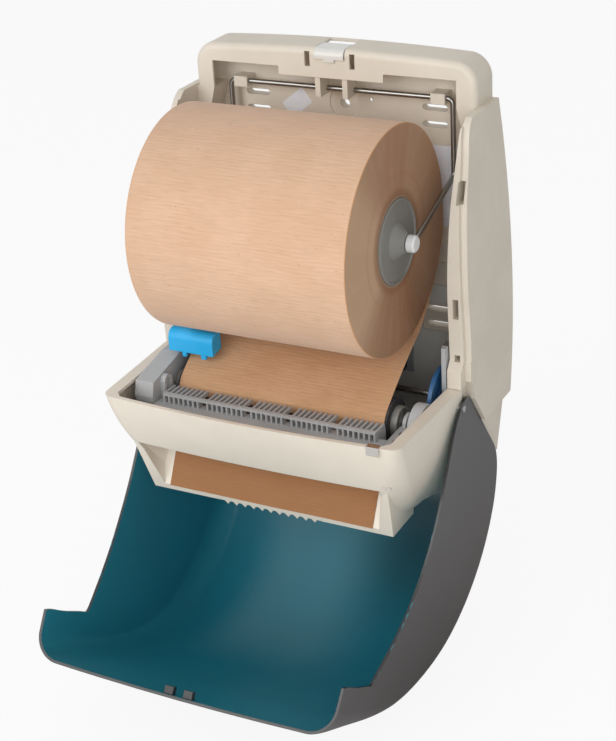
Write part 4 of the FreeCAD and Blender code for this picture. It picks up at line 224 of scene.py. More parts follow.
class Finish(NodeSet):
    """A procedural material being put together."""

    def __init__(self, name, **fixed):
        self.material = bpy.data.materials.new(name)
        self.material.use_nodes = True
        super().__init__(self.material.node_tree)
        self.shader = self.tree.nodes["Principled BSDF"]
        self.shade(**fixed)

    def spot(self, centre=(0, 0, 0), scale=(1, 1, 1)):
        """Object coordinates about a centre."""
        place = self.add("ShaderNodeTexCoord", out="Object")
        size = tuple(1 / s for s in scale)
        return self.add("ShaderNodeMapping", {"vector_type": "TEXTURE"},
                        {"Vector": place, "Location": centre, "Scale": size})

    def along(self, x, y=0.0, z=0.0):
        """A vector put together from three values."""
        return self.add("ShaderNodeCombineXYZ", None, {"X": x, "Y": y, "Z": z})

    def part(self, vector, axis):
        return self.add("ShaderNodeSeparateXYZ", None, {"Vector": vector}, out="XYZ".index(axis))

    def grain(self, spot, scale, detail=2.0, roughness=0.5, distortion=0.0):
        return self.add("ShaderNodeTexNoise", {"noise_dimensions": "3D"},
                        {"Vector": spot, "Scale": scale, "Detail": detail,
                         "Roughness": roughness, "Distortion": distortion})

    def waves(self, angle):
        return self.add("ShaderNodeMath", {"operation": "SINE"}, {0: angle})

    def step(self, value, low, high):
        """0 at low and 1 at high, with a smooth rise between them."""
        return self.add("ShaderNodeMapRange", {"interpolation_type": "SMOOTHSTEP"},
                        {"Value": value, "From Min": low, "From Max": high})

    def mix(self, factor, first, second):
        return self.add("ShaderNodeMix", {"data_type": "RGBA"},
                        {0: factor, 6: first, 7: second}, out=2)

    def rounded(self, radius):
        """The surface direction with each edge softened."""
        return self.add("ShaderNodeBevel", {"samples": 4}, {"Radius": radius})

    def edges(self, soft):
        """1 on the rounded edges and 0 on the faces."""
        facing = self.add("ShaderNodeNewGeometry", out="Normal")
        same = self.add("ShaderNodeVectorMath", {"operation": "DOT_PRODUCT"},
                        {0: soft, 1: facing}, out="Value")
        return self.step(1.0 - same, 0.01, 0.2)

    def relief(self, height, depth, normal=None):
        """The surface direction of a small relief, over a softened one where it is given."""
        sockets = {"Height": height, "Distance": depth}
        if normal is not None:
            sockets["Normal"] = normal
        return self.add("ShaderNodeBump", None, {"Strength": 1.0, **sockets})

    def shade(self, **sockets):
        for name, value in sockets.items():
            self.feed(self.shader.inputs[name.replace("_", " ")], value)
        return self.material


def tinted(rgb, share):
    """The colour taken towards white, or towards black where share is negative."""
    goal = 1.0 if share > 0 else 0.0
    return tuple(c + (goal - c) * abs(share) for c in rgb)


# Makers of finishes. A relief's depth and a rounding are in metres, a grain's scale is per metre.

SPARK_DEPTH = 0.000025
DRAW_MARK_DEPTH = 0.000012
RIB_DEPTH = 0.0002
CREPE_DEPTH = 0.00022
TURN_DEPTH = 0.00025
GLOSS_DEPTH = 0.00001
FIBRE_DEPTH = 0.00002
CORE_OUTSIDE = 0.0402
RIM_INSIDE = 0.0958
RIM_OUTSIDE = 0.0968
DUST_ON_RUBBER = linear(120, 108, 96)
DUST_ON_COVER = linear(170, 176, 178)
RUBBED_COVER = linear(120, 128, 132)
FLECK = linear(140, 98, 66)


def moulded(name, rgb, roughness, rounding=0.0007, drift=0.05, wear=0.25, shine=0.0):
    """Injection-moulded plastic: slow tone drift, fine spark grain and edges rubbed paler."""
    f = Finish(name, Coat_Roughness=0.25)
    spot = f.spot()
    flow = f.grain(spot, 14, 3, 0.55, 0.6)
    spark = f.grain(spot, 1500, 2, 0.6)
    soft = f.rounded(rounding)
    rubbed = f.edges(soft)
    dusty = f.step(f.grain(spot, 60, 4, 0.6), 0.52, 0.75)
    tone = f.mix(f.step(flow, 0.3, 0.7), tinted(rgb, -drift), tinted(rgb, drift))
    tone = f.mix(dusty * 0.08, tone, tinted(rgb, -0.25))
    tone = f.mix(rubbed * wear, tone, tinted(rgb, 0.35))
    rough = roughness + (spark - 0.5) * 0.12 + dusty * 0.06 - rubbed * 0.08
    return f.shade(Base_Color=tone, Roughness=rough, Coat_Weight=shine,
                   Normal=f.relief(spark, SPARK_DEPTH, soft))


def drawn_steel(name, rgb, along, roughness=0.28, rounding=0.0004):
    """Bare metal with draw marks along one axis."""
    f = Finish(name, Metallic=1.0)
    stretch = tuple(40.0 if axis == along else 2600.0 for axis in "XYZ")
    marks = f.grain(f.spot(scale=stretch), 1.0, 4, 0.6)
    cloud = f.grain(f.spot(), 60, 3)
    soft = f.rounded(rounding)
    tone = f.mix(marks, tinted(rgb, -0.22), tinted(rgb, 0.12))
    tone = f.mix(f.step(cloud, 0.45, 0.8) * 0.25, tone, tinted(rgb, -0.35))
    return f.shade(Base_Color=tone, Roughness=roughness + (marks - 0.5) * 0.2 + cloud * 0.06,
                   Normal=f.relief(marks, DRAW_MARK_DEPTH, soft))


def plated(name, rgb, roughness=0.12):
    """Bright plating with a faint cloud and rubbed marks."""
    f = Finish(name, Metallic=1.0)
    cloud = f.grain(f.spot(), 220, 4, 0.6)
    tone = f.mix(cloud, tinted(rgb, -0.15), tinted(rgb, 0.1))
    return f.shade(Base_Color=tone, Roughness=roughness + f.step(cloud, 0.45, 0.7) * 0.12,
                   Normal=f.rounded(0.0003))


def ribbed_rubber(name, rgb, pitch):
    """Feed roller rubber with fine ribs round the roller."""
    f = Finish(name)
    spot = f.spot()
    ribs = f.waves(f.part(spot, "X") * (2 * math.pi / pitch))
    fine = f.grain(spot, 1800, 3, 0.6)
    dust = f.step(f.grain(spot, 90, 4, 0.65), 0.5, 0.8)
    tone = f.mix(dust * 0.3, tinted(rgb, 0.02), DUST_ON_RUBBER)
    # Painted shade: the grooves between the ribs are darker.
    tone = f.mix(f.step(ribs, -0.4, -1.0) * 0.5, tone, tinted(rgb, -0.6))
    return f.shade(Base_Color=tone, Roughness=0.72 + (fine - 0.5) * 0.2 + dust * 0.1,
                   Normal=f.relief(ribs * 0.5 + fine * 0.25, RIB_DEPTH, f.rounded(0.0005)))


def crepe_paper(name, rgb, crepe, line=0.3, centre=None, low_rgb=None):
    """Unbleached creped towel: lines across the sheet, fibres and small dark flecks.

    The lines run round a centre where one is given. Below the feed roller, the colour goes to
    low_rgb where that is given, as painted shade under the roller.
    """
    f = Finish(name, Sheen_Weight=0.15, Sheen_Roughness=0.6)
    spot = f.spot(centre=tuple(centre) if centre else (0, 0, 0))
    y, z = f.part(spot, "Y"), f.part(spot, "Z")
    run = y.maths("ARCTAN2", y, z) * ROLL_RADIUS if centre else z + y * 0.6
    waver = f.grain(f.spot(scale=(20, 60, 60)), 1.0, 1)
    bands = f.waves(run * (2 * math.pi / (crepe * 1.9)) + waver * 9.0)
    stretch = 1.0 / crepe
    lines = f.grain(f.spot(scale=(stretch * 0.07, stretch, stretch)), 1.0, 0, 0.4)
    dashes = f.grain(f.spot(scale=(stretch * 0.16, stretch * 1.7, stretch * 1.7)), 1.0, 0, 0.4)
    fibres = f.grain(f.spot(scale=(700, 1500, 1500)), 1.0, 3, 0.6)
    cloud = f.grain(f.spot(), 30, 3, 0.5)
    flecks = f.step(f.grain(f.spot(), 420, 0, 0.5), 0.83, 0.87)
    tone = f.mix(f.step(cloud, 0.35, 0.65), tinted(rgb, -0.035), tinted(rgb, 0.03))
    tone = f.mix(f.step(lines, 0.35, 0.7) * line * 0.6, tone, tinted(rgb, -0.25))
    tone = f.mix(f.step(dashes, 0.5, 0.8) * line, tone, tinted(rgb, -0.3))
    tone = f.mix(f.step(bands, -0.2, 1.0) * line * 0.55, tone, tinted(rgb, -0.25))
    tone = f.mix(f.step(fibres, 0.55, 0.8) * 0.12, tone, tinted(rgb, 0.25))
    tone = f.mix(flecks * 0.4, tone, FLECK)
    if low_rgb:
        # Painted shade: the sheet goes darker below the feed roller.
        below = f.step(z, MOUTH_LINE + 0.012, MOUTH_LINE - 0.006)
        tone = f.mix(below * 0.75, tone, low_rgb)
    height = lines * 0.35 + dashes * 0.2 + fibres * 0.15 + bands * 0.15
    return f.shade(Base_Color=tone, Roughness=0.86 + (fibres - 0.5) * 0.12,
                   Normal=f.relief(height, CREPE_DEPTH))


def wound_end(name, rgb, centre):
    """The roll's end: the edges of its turns, with streaks that fan out from the core, and painted
    light and shade across the face.
    """
    f = Finish(name, Sheen_Weight=0.1)
    spot = f.spot(centre=tuple(centre))
    y, z = f.part(spot, "Y"), f.part(spot, "Z")
    radius = f.add("ShaderNodeMath", {"operation": "SQRT"}, {0: y * y + z * z})
    turns = f.grain(f.along(radius * 900.0), 1.0, 3, 0.7)
    bands = f.grain(f.along(radius * 150.0, 3.1), 1.0, 2, 0.5)
    ahead, up = -y / radius, z / radius
    ray = f.along(ahead, up, radius * 3.0)
    fan = f.grain(ray, 2.3, 2, 0.5, 0.2)
    fine_fan = f.grain(ray, 9, 2, 0.5)
    soil = f.grain(spot, 40, 4, 0.6)
    # glow is painted light: a paler patch on the upper back of the end face.
    glow = f.step(up - ahead * 0.9, 1.18, 1.34)
    rim = f.step(radius, RIM_INSIDE, RIM_OUTSIDE)
    # Painted shade: the back of the face and its lower part are darker. The top goes browner, and
    # glow paints light on the upper back.
    tone = f.mix(f.step(ahead, -0.15, 0.75), linear(182, 139, 104), rgb)
    for share, colour in (
            (f.step(up, 0.5, 0.98) * 0.75, linear(150, 105, 70)),
            (f.step(up, -0.45, -0.95) * 0.8, linear(138, 90, 48)),
            (glow * 0.3, linear(196, 160, 128)),
            (f.step(fan, 0.36, 0.64) * 0.22, tinted(rgb, -0.3)),
            (f.step(fine_fan, 0.45, 0.75) * 0.08, tinted(rgb, 0.25)),
            (f.step(turns, 0.35, 0.7) * 0.16, tinted(rgb, -0.4)),
            (f.step(bands, 0.6, 0.72) * 0.12, linear(150, 96, 58)),
            (f.step(radius, 0.047, CORE_OUTSIDE) * 0.6, linear(134, 84, 48)),
            (f.step(soil, 0.55, 0.8) * 0.1, linear(205, 170, 138)),
            (rim * 0.8, linear(214, 160, 112))):
        tone = f.mix(share, tone, colour)
    return f.shade(Base_Color=tone, Roughness=0.8 + (turns - 0.5) * 0.2,
                   Normal=f.relief(turns * 0.6 + bands * 0.4, TURN_DEPTH))


def smoked(name, rgb, low_rgb, roughness, coat, inside=False):
    """Glossy smoked moulding that goes darker towards its lower end, with a painted reflection and
    painted shade.
    """
    f = Finish(name, Coat_Roughness=0.12, Specular_IOR_Level=0.55)
    spot = f.spot()
    across, ahead = f.part(spot, "X"), f.part(spot, "Y")
    depth = f.step(f.part(spot, "Z"), -0.12, -0.36)
    flow = f.grain(spot, 9, 3, 0.5, 0.8)
    fine = f.grain(spot, 1300, 2)
    dust = f.step(f.grain(spot, 240, 3, 0.7), 0.66, 0.8)
    soft = f.rounded(0.0009)
    rubbed = f.edges(soft)
    tone = f.mix(depth, rgb, low_rgb)
    tone = f.mix(f.step(flow, 0.35, 0.7) * 0.25, tone, tinted(rgb, -0.35))
    if inside:
        # Inside: a paler band left of the middle is a painted reflection, and the part towards +X
        # is darker, painted shade.
        middle = f.step(across, -0.1, -0.05) * f.step(across, 0.08, 0.0)
        painted_reflection_band = middle * f.step(ahead, -0.24, -0.15)
        painted_shade_patch = f.step(across, -0.01, 0.07) * f.step(ahead, -0.16, -0.04)
        tone = f.mix(painted_reflection_band * 0.28, tone, tinted(rgb, 0.25))
        tone = f.mix(painted_shade_patch * 0.75, tone, tinted(rgb, -0.85))
    else:
        # Outside: the side towards +X is darker, painted shade.
        tone = f.mix(f.step(across, 0.02, 0.13) * 0.4, tone, tinted(rgb, -0.7))
    tone = f.mix(dust * 0.05, tone, DUST_ON_COVER)
    tone = f.mix(rubbed * 0.08, tone, RUBBED_COVER)
    return f.shade(Base_Color=tone, Roughness=roughness + dust * 0.08 + (fine - 0.5) * 0.05,
                   Coat_Weight=coat, Normal=f.relief(fine, GLOSS_DEPTH, soft))


def clear_lens(name, rgb):
    """Small moulded lens."""
    f = Finish(name, Coat_Roughness=0.05)
    cloud = f.grain(f.spot(), 400, 3)
    tone = f.mix(cloud, tinted(rgb, -0.2), tinted(rgb, 0.15))
    return f.shade(Base_Color=tone, Roughness=0.1 + cloud * 0.08, Coat_Weight=0.8,
                   Normal=f.rounded(0.0003))


def circuit(name, rgb):
    """Solder-masked laminate with faint tracks."""
    f = Finish(name)
    spot = f.spot()
    tracks = f.add("ShaderNodeTexBrick", {"offset": 0.35},
                   {"Vector": spot, "Scale": 160.0, "Mortar Size": 0.03, "Color1": (0, 0, 0),
                    "Color2": (0.3, 0.3, 0.3), "Mortar": (1, 1, 1)})
    cloud = f.grain(spot, 120, 3)
    tone = f.mix(cloud, tinted(rgb, -0.2), tinted(rgb, 0.1))
    tone = f.mix(f.part(tracks, "X") * 0.4, tone, tinted(rgb, 0.25))
    return f.shade(Base_Color=tone, Roughness=0.35 + cloud * 0.1, Normal=f.rounded(0.0002))


def label_stock(name, rgb):
    """Bare coated label paper, a little grubby at its middle."""
    f = Finish(name)
    spot = f.spot()
    cloud = f.grain(spot, 45, 4, 0.6)
    fibre = f.grain(spot, 2200, 3)
    tone = f.mix(f.step(cloud, 0.4, 0.75) * 0.3, rgb, tinted(rgb, -0.2))
    return f.shade(Base_Color=tone, Roughness=0.45 + fibre * 0.15,
                   Normal=f.relief(fibre, FIBRE_DEPTH))


# Geometry helpers

WELD = 2e-6
SMOOTH_ANGLE = 40


def soften_by_angle(shape, degrees=SMOOTH_ANGLE):
    """Shades faces smooth and keeps an edge sharp where its faces turn more than an angle."""
    limit = math.radians(degrees)
    for face in shape.faces:
        face.smooth = True
    for edge in shape.edges:
        edge.smooth = len(edge.link_faces) == 2 and edge.calc_face_angle(0) < limit


def copy_of_node(node):
    """A welded bmesh of a CAD node's mesh."""
    shape = bmesh.new()
    shape.from_mesh(NODES[node].data)
    bmesh.ops.remove_doubles(shape, verts=shape.verts, dist=WELD)
    return shape


def add_object(name, shape, finishes):
    """Makes the object of a finished bmesh."""
    mesh = bpy.data.meshes.new(name)
    shape.to_mesh(mesh)
    shape.free()
    for finish in finishes:
        mesh.materials.append(finish)
    thing = bpy.data.objects.new(name, mesh)
    bpy.context.scene.collection.objects.link(thing)
    return thing


def add_piece(name, shape, body, finishes, stands_for=()):
    """Makes a piece of the dispenser, and has it ride on its body."""
    piece = add_object(name, shape, [FINISHES[finish] for finish in finishes])
    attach(piece, body)
    if stands_for:
        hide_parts(*stands_for)
    return piece


def spun(profile, centre, segments):
    """A closed piece spun about X through a centre, from a profile of (x, radius) pairs."""
    shape = bmesh.new()
    verts = [shape.verts.new((x, centre[1], centre[2] + radius)) for x, radius in profile]
    edges = [shape.edges.new(pair) for pair in zip(verts, verts[1:] + verts[:1])]
    bmesh.ops.spin(shape, geom=verts + edges, cent=(0, centre[1], centre[2]), axis=(1, 0, 0),
                   dvec=(0, 0, 0), angle=2 * math.pi, steps=segments, use_merge=True,
                   use_duplicate=False)
    bmesh.ops.remove_doubles(shape, verts=shape.verts, dist=1e-7)
    bmesh.ops.recalc_face_normals(shape, faces=shape.faces)
    return shape


def card(centre, width, height, thickness, turn=0.0, corner=0.0015):
    """A thin plate with rounded corners that faces -Y."""
    shape = bmesh.new()
    bmesh.ops.create_grid(shape, x_segments=1, y_segments=1, size=0.5)
    bmesh.ops.scale(shape, vec=(width, height, 1), verts=shape.verts)
    bmesh.ops.bevel(shape, geom=shape.verts[:], offset=corner, segments=4, profile=0.5,
                    affect="VERTICES", material=-1)
    bmesh.ops.solidify(shape, geom=shape.faces[:], thickness=thickness)
    bmesh.ops.recalc_face_normals(shape, faces=shape.faces)
    bmesh.ops.transform(shape, matrix=Matrix.Translation(centre) @ Matrix.Rotation(turn, 4, "Y")
                        @ Matrix.Rotation(math.pi / 2, 4, "X"), verts=shape.verts)
    return shape


# Finishes

FINISHES = {}

FINISH_NODES = {
    "case": ("rear_case", "bail_clips"),
    "tray": ("nose_tray", "tear_comb"),
    "module": ("gearcase", "bearing_block", "roller_post", "comb_guide", "pinch_brackets",
               "battery_box", "battery_lid"),
    "module_pale": ("gearcase_cover",),
    "wall": ("module_back",),
    "hub": ("roll_hub_right", "roll_hub_left", "roller_cap_right", "roller_cap_left"),
    "lever": ("transfer_lever",),
    "lever_disc": ("transfer_disc",),
    "latch": ("latch_button",),
    "knob": ("axle_stud_right", "axle_stud_left"),
    "black": ("cover_catches", "roller_core", "board_parts"),
    "gear": ("bearing_bush_right", "bearing_bush_left", "drive_gear", "idler_gear"),
    "cell": ("batteries",),
    "core": ("paper_core",),
    "rubber": ("drive_roller", "pinch_rollers"),
    "arm_wire": ("wire_bail", "latch_spring"),
    "shaft": ("drive_shaft", "idler_pin", "pinch_shaft", "transfer_rod", "hinge_pins"),
    "zinc": ("gearcase_screws", "post_strap", "case_screws"),
    "can": ("motor",),
    "plate": ("battery_contacts", "static_clip"),
    "brass": ("motor_pinion",),
    "board": ("control_board", "sensor_board"),
    "sensor_lens": ("sensor_window",),
    "light_lens": ("status_lights",),
}


class TOWELS_OT_finishes(bpy.types.Operator):
    """Makes the finishes and gives each carried-over piece its own"""

    bl_idname = "towels.finishes"
    bl_label = "Finishes"

    def execute(self, context):
        colours = context.scene.towel_colours
        paper = context.scene.towel_paper
        FINISHES.update(self.mouldings(colours))
        FINISHES.update(self.covers(colours))
        FINISHES.update(self.papers(paper))
        FINISHES.update(self.metals_and_others())
        for finish, nodes in FINISH_NODES.items():
            for node in nodes:
                slots = NODES[node].data.materials
                for index in range(len(slots)):
                    slots[index] = FINISHES[finish]
                if not slots:
                    slots.append(FINISHES[finish])
        return {"FINISHED"}

    def mouldings(self, colours):
        pale = tinted(colours.module, 0.06)
        return {
            "case": moulded("case_moulding", colours.case, 0.48, wear=0.3),
            "tray": moulded("tray_moulding", colours.tray, 0.36,
                            drift=0.03, wear=0.35, shine=0.15),
            "module": moulded("module_moulding", colours.module, 0.5, rounding=0.0006, drift=0.06),
            "module_pale": moulded("module_cover_moulding", pale, 0.5, rounding=0.0006),
            # Painted light: the module's back wall is a paler copy of the module grey, against the
            # deep shade behind the roll.
            "wall": moulded("module_wall_moulding", linear(222, 220, 214), 0.5, rounding=0.0006),
            "hub": moulded("hub_moulding", colours.hub, 0.42, rounding=0.0005),
            "lever": moulded("lever_moulding", colours.lever, 0.5, drift=0.04, wear=0.12),
            "lever_disc": moulded("disc_moulding", linear(6, 88, 142), 0.42, wear=0.3),
            "latch": moulded("latch_moulding", linear(226, 224, 218), 0.3, wear=0.3, shine=0.3),
            "knob": moulded("knob_moulding", linear(236, 238, 238), 0.18, wear=0.3, shine=0.7),
            "black": moulded("black_moulding", linear(34, 34, 36), 0.45, wear=0.2),
            "gear": moulded("gear_moulding", linear(224, 222, 212), 0.45),
            "cell": moulded("cell_sleeve", linear(52, 56, 62), 0.28, shine=0.4),
        }

    def covers(self, colours):
        return {
            "cover_inside": smoked("cover_inside", colours.cover_inside, linear(34, 124, 144),
                                   0.34, 0.3, inside=True),
            "cover_outside": smoked("cover_outside", colours.cover_outside, linear(40, 24, 16),
                                    0.42, 0.1),
            "cover_edge": smoked("cover_edge", linear(16, 18, 20), linear(16, 16, 18), 0.35, 0.2),
        }

    def papers(self, paper):
        return {
            "paper": crepe_paper("towel_paper", paper.wound, paper.crepe, centre=ROLL_CENTRE),
            # The sheet's finish is painted shade: darker than the towel on the roll, and darker
            # still below the feed roller.
            "sheet": crepe_paper("towel_sheet", paper.sheet, paper.crepe, 0.4,
                                 low_rgb=linear(146, 92, 44)),
            "wound": wound_end("wound_end", paper.wound_end, ROLL_CENTRE),
            "core": crepe_paper("core_board", paper.core, 0.004),
            "label": label_stock("label_stock", linear(240, 243, 250)),
        }

    def metals_and_others(self):
        return {
            "rubber": ribbed_rubber("roller_rubber", linear(30, 30, 32), 0.0016),
            "arm_wire": drawn_steel("arm_wire", (0.33, 0.32, 0.3), "Z", 0.28),
            "shaft": drawn_steel("ground_shaft", (0.55, 0.55, 0.55), "X", 0.24),
            "zinc": drawn_steel("zinc_plate", (0.58, 0.58, 0.56), "Y", 0.34),
            "can": drawn_steel("motor_can", (0.52, 0.52, 0.51), "X", 0.32),
            "plate": plated("bright_plate", (0.72, 0.70, 0.66)),
            "brass": plated("brass_pinion", (0.70, 0.52, 0.26), 0.2),
            "board": circuit("board_laminate", linear(150, 156, 158)),
            "sensor_lens": clear_lens("sensor_lens", linear(70, 14, 20)),
            "light_lens": clear_lens("light_lens", linear(216, 204, 194)),
        }


# The object's own pieces

# A point inside the shut dispenser, which the cover's outer skin faces away from, and how far
# below the skin a ray starts that measures the wall.
CASE_HEART = Vector((0, -0.07, 0.02))
RAY_GAP = 2e-5

# The cover's lower corners, as they lie when it is shut: how far they are set back, the height of
# their edge, how far up it fades, and where along Y and X it starts.
CORNER_EASE = 0.0009
CORNER_EDGE = -0.1085
CORNER_DEPTH = 0.025
CORNER_FRONT = -0.165
CORNER_FADE = 0.04
CORNER_HALF = 0.12

ROLL_RINGS = 46
ROLL_STEPS = 160
ROLL_SKIN = 0.00005
SHEET_STRIPS = 24
RIPPLES_ACROSS = 22
RIPPLES_ALONG = 16
RIPPLE_DEPTH_Y = 0.00022
RIPPLE_DEPTH_Z = 0.00018

# Where the two bare labels lie on the case's back panel.
SIDE_LABEL_LEFT = 0.0835
SIDE_LABEL_FACE = -0.01255
SIDE_LABEL_HEIGHT = 0.032
TILTED_LABEL_CENTRE = (-0.047, -0.0106, 0.0945)
TILTED_LABEL_SIZE = (0.026, 0.0165)
TILTED_LABEL_TURN = math.radians(-38)


class TOWELS_OT_cover(bpy.types.Operator):
    """The smoked front cover: tinted skin inside and outside, black where the wall is cut"""

    bl_idname = "towels.cover"
    bl_label = "Front cover"

    def execute(self, context):
        shape = copy_of_node("front_cover")
        soften_by_angle(shape, 30)
        pivot = Vector(HINGE["pos_m"])
        opened = Matrix.Rotation(math.radians(-HINGE["range_deg"][0]), 4, "X")
        shut = Matrix.Translation(pivot) @ opened.inverted() @ Matrix.Translation(-pivot)
        self.ease_lower_corners(shape, shut)
        tree = BVHTree.FromBMesh(shape)
        for face in shape.faces:
            centre = face.calc_center_median()
            depth = tree.ray_cast(centre - face.normal * RAY_GAP, -face.normal)[3]
            outward = (shut.to_3x3() @ face.normal).dot(shut @ centre - CASE_HEART) > 0
            cut = depth is None or depth > context.scene.towel_cover.edge
            face.material_index = 2 if cut else (1 if outward else 0)
        add_piece("cover_shell", shape, "cover",
                  ["cover_inside", "cover_outside", "cover_edge"], ["front_cover"])
        return {"FINISHED"}

    def ease_lower_corners(self, shape, shut):
        """Sets the cover's lower edge back a little, so that it clears the tray's rim."""
        for vert in shape.verts:
            place = shut @ vert.co
            low = min(1.0, max(0.0, (CORNER_EDGE + CORNER_DEPTH - place.z) / CORNER_DEPTH))
            ahead = min(1.0, max(0.0, (CORNER_FRONT - place.y) / CORNER_FADE))
            side = math.copysign(min(1.0, abs(place.x) / CORNER_HALF) ** 4, place.x)
            shift = Vector((side, -abs(side), 0)) * CORNER_EASE * low * ahead
            vert.co = shut.inverted() @ (place + shift)


class TOWELS_OT_roll(bpy.types.Operator):
    """The wound towel roll, with the edges of its turns standing a little proud at each end"""

    bl_idname = "towels.roll"
    bl_label = "Towel roll"

    def execute(self, context):
        layer = context.scene.towel_paper.layer
        dice = random.Random(7)
        half = (ROLL_HIGH.x - ROLL_LOW.x) / 2
        core_low, core_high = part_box("paper_core")
        bore = (core_high.z - core_low.z) / 2 + 0.0001
        right = []
        for index in range(ROLL_RINGS + 1):
            share = index / ROLL_RINGS
            drop = layer * dice.uniform(0, 1) + 0.00025 * (1 - share) ** 4
            right.append((half - drop, bore + (ROLL_RADIUS - 0.0006 - bore) * share))
        right += [(half - 0.00025, ROLL_RADIUS - 0.00018), (half - 0.0007, ROLL_RADIUS)]
        left = [(-x, radius) for x, radius in reversed(right)]
        shape = spun(right + left, ROLL_CENTRE, ROLL_STEPS)
        soften_by_angle(shape)
        for face in shape.faces:
            across = face.calc_center_median() - ROLL_CENTRE
            reach = math.hypot(across.y, across.z)
            round_face = reach > ROLL_RADIUS - ROLL_SKIN or reach < bore + ROLL_SKIN
            face.material_index = 0 if round_face else 1
        add_piece("wound_roll", shape, "roll", ["paper", "wound"], ["paper_roll"])
        return {"FINISHED"}


class TOWELS_OT_sheet(bpy.types.Operator):
    """The single sheet between the roll and the tear comb, with slight ripples"""

    bl_idname = "towels.sheet"
    bl_label = "Towel sheet"

    def execute(self, context):
        shape = copy_of_node("paper_web")
        low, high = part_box("paper_web")
        for index in range(1, SHEET_STRIPS):
            x = low.x + (high.x - low.x) * index / SHEET_STRIPS
            bmesh.ops.bisect_plane(shape, geom=shape.verts[:] + shape.edges[:] + shape.faces[:],
                                   plane_co=(x, 0, 0), plane_no=(1, 0, 0), dist=1e-6)
        for vert in shape.verts:
            x, y, z = vert.co
            place = Vector((x * RIPPLES_ACROSS, y * RIPPLES_ALONG, z * RIPPLES_ALONG))
            ripple = noise.noise(place)
            vert.co.y += RIPPLE_DEPTH_Y * ripple
            vert.co.z += RIPPLE_DEPTH_Z * ripple
        soften_by_angle(shape)
        add_piece("towel_sheet", shape, "housing", ["sheet"], ["paper_web"])
        return {"FINISHED"}


class TOWELS_OT_spring(bpy.types.Operator):
    """The latch's coil spring"""

    bl_idname = "towels.spring"
    bl_label = "Latch spring"

    def execute(self, context):
        shape = copy_of_node("latch_spring")
        soften_by_angle(shape)
        piece = add_piece("press_spring", shape, "housing", ["arm_wire"],
                          ["latch_spring"])
        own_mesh(piece)
        return {"FINISHED"}


class TOWELS_OT_labels(bpy.types.Operator):
    """The two bare labels on the case's back panel"""

    bl_idname = "towels.labels"
    bl_label = "Bare labels"

    def execute(self, context):
        label = context.scene.towel_label
        centre = (SIDE_LABEL_LEFT + label.width / 2, SIDE_LABEL_FACE, SIDE_LABEL_HEIGHT)
        shape = card(centre, label.width, label.height, label.thickness)
        add_piece("side_label", shape, "housing", ["label"])
        shape = card(TILTED_LABEL_CENTRE, *TILTED_LABEL_SIZE, label.thickness, TILTED_LABEL_TURN)
        add_piece("serial_label", shape, "housing", ["label"])
        return {"FINISHED"}


# Stage

FLOOR_HALF = 4.0
FLOOR_GAP = 0.001
FLOOR_GLOW = 0.9
SKY_LEVEL = 0.46
SENSOR_WIDTH = 36
NEAR_CLIP = 0.05
CAMERA_PLACE = Matrix((
    (0.8889, -0.1545, 0.4312, 0.6295),
    (0.4548, 0.4111, -0.7901, -1.2607),
    (-0.0552, 0.8984, 0.4357, 0.5173),
    (0, 0, 0, 1),
))
LAMP_AIM = Vector((0, -0.14, -0.08))
# Each lamp's name, place, size and share of the key lamp's power.
LAMPS = (
    ("key_lamp", (-0.75, -2.1, 0.95), 1.8, 1.0),
    ("fill_lamp", (0.95, -1.75, 0.45), 1.2, 0.42),
    ("top_lamp", (0.1, -0.5, 1.7), 0.9, 0.04),
)


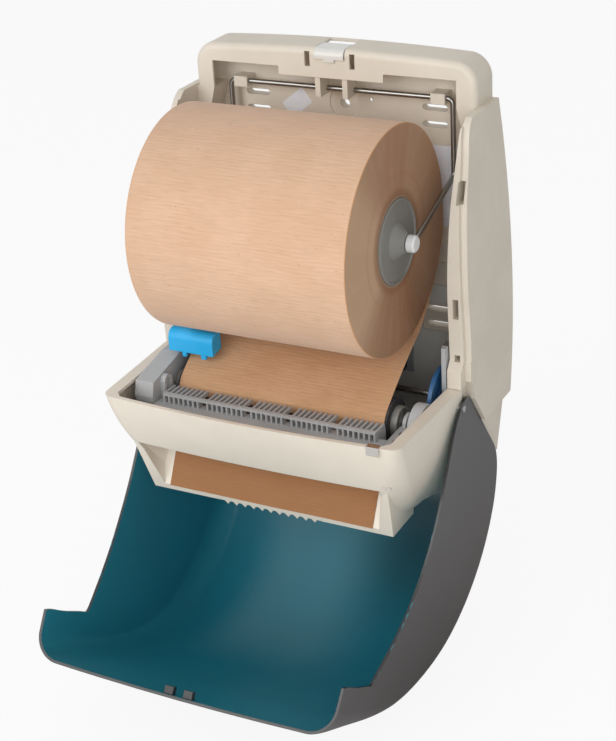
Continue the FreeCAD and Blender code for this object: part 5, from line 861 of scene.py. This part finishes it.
class TOWELS_OT_stage(bpy.types.Operator):
    """Floor, lights, background and camera"""

    bl_idname = "towels.stage"
    bl_label = "Stage"

    def execute(self, context):
        scene = context.scene
        settings = scene.towel_stage
        shape = bmesh.new()
        bmesh.ops.create_grid(shape, x_segments=1, y_segments=1, size=FLOOR_HALF)
        bmesh.ops.translate(shape, vec=(0, 0, CAD_BOX[0][2] - FLOOR_GAP), verts=shape.verts)
        add_object("floor", shape, [self.pale_floor()])
        self.daylight(scene)
        for name, place, size, share in LAMPS:
            self.lamp(scene, name, place, size, settings.key_power * share)
        camera = bpy.data.objects.new("camera", bpy.data.cameras.new("camera"))
        scene.collection.objects.link(camera)
        camera.data.lens = settings.lens
        camera.data.sensor_width = SENSOR_WIDTH
        camera.data.clip_start = NEAR_CLIP
        camera.matrix_world = CAMERA_PLACE
        scene.camera = camera
        scene.view_settings.view_transform = "Standard"
        return {"FINISHED"}

    def pale_floor(self):
        """A pale floor that the camera sees nearly white."""
        f = Finish("pale_floor", Roughness=0.8, Base_Color=(0.86, 0.86, 0.86))
        rays = f.add("ShaderNodeLightPath", out="Is Camera Ray")
        glow = f.add("ShaderNodeEmission", None, {"Color": (1, 1, 1), "Strength": 1.0})
        surface = Wire(f, f.shader.outputs[0])
        shown = f.add("ShaderNodeMixShader", None, {0: rays * FLOOR_GLOW, 1: surface, 2: glow})
        f.feed(f.tree.nodes["Material Output"].inputs["Surface"], shown)
        return f.material

    def daylight(self, scene):
        """A white world that lights the object at a lower level than it shows."""
        world = bpy.data.worlds.new("studio")
        scene.world = world
        world.use_nodes = True
        sky = NodeSet(world.node_tree)
        seen, through, mirrored = (
            sky.add("ShaderNodeLightPath", out=ray)
            for ray in ("Is Camera Ray", "Is Transmission Ray", "Is Glossy Ray"))
        seen = seen.maths("MAXIMUM", seen, through)
        seen = seen.maths("MAXIMUM", seen, mirrored)
        level = sky.add("ShaderNodeMapRange", None,
                        {"Value": seen, "To Min": SKY_LEVEL, "To Max": 1.0})
        background = world.node_tree.nodes["Background"]
        sky.feed(background.inputs["Color"], (1, 1, 1))
        sky.feed(background.inputs["Strength"], level)

    def lamp(self, scene, name, place, size, power):
        light = bpy.data.lights.new(name, "AREA")
        light.shape = "DISK"
        light.size = size
        light.energy = power
        lamp = bpy.data.objects.new(name, light)
        scene.collection.objects.link(lamp)
        lamp.location = place
        aim = LAMP_AIM - Vector(place)
        lamp.rotation_euler = aim.to_track_quat("-Z", "Y").to_euler()


class TOWELS_PT_panel(bpy.types.Panel):
    """Lists the dispenser's operators and settings"""

    bl_label = "Roll towel dispenser"
    bl_idname = "TOWELS_PT_panel"
    bl_space_type = "VIEW_3D"
    bl_region_type = "UI"
    bl_category = "Towels"

    def draw(self, context):
        for title, name in SETTINGS_TITLES.items():
            settings = getattr(context.scene, name)
            box = self.layout.box()
            box.label(text=title)
            for key in settings.__annotations__:
                box.prop(settings, key)
        for operator in OPERATORS:
            self.layout.operator(operator.bl_idname)


SETTINGS = {
    "towel_colours": MouldingColours,
    "towel_paper": PaperSettings,
    "towel_cover": CoverSettings,
    "towel_label": LabelSettings,
    "towel_stage": StageSettings,
}
SETTINGS_TITLES = {
    "Mouldings": "towel_colours",
    "Paper": "towel_paper",
    "Cover": "towel_cover",
    "Labels": "towel_label",
    "Stage": "towel_stage",
}
OPERATORS = (
    TOWELS_OT_finishes, TOWELS_OT_cover, TOWELS_OT_roll, TOWELS_OT_sheet, TOWELS_OT_spring,
    TOWELS_OT_labels, TOWELS_OT_stage,
)


def register():
    for kind in (*SETTINGS.values(), *OPERATORS, TOWELS_PT_panel):
        bpy.utils.register_class(kind)
    for name, kind in SETTINGS.items():
        setattr(bpy.types.Scene, name, bpy.props.PointerProperty(type=kind))


def unregister():
    for name in SETTINGS:
        delattr(bpy.types.Scene, name)
    for kind in reversed((*SETTINGS.values(), *OPERATORS, TOWELS_PT_panel)):
        bpy.utils.unregister_class(kind)


def main():
    register()
    for operator in OPERATORS:
        group, name = operator.bl_idname.split(".")
        getattr(getattr(bpy.ops, group), name)()


if __name__ == "__main__":
    main()
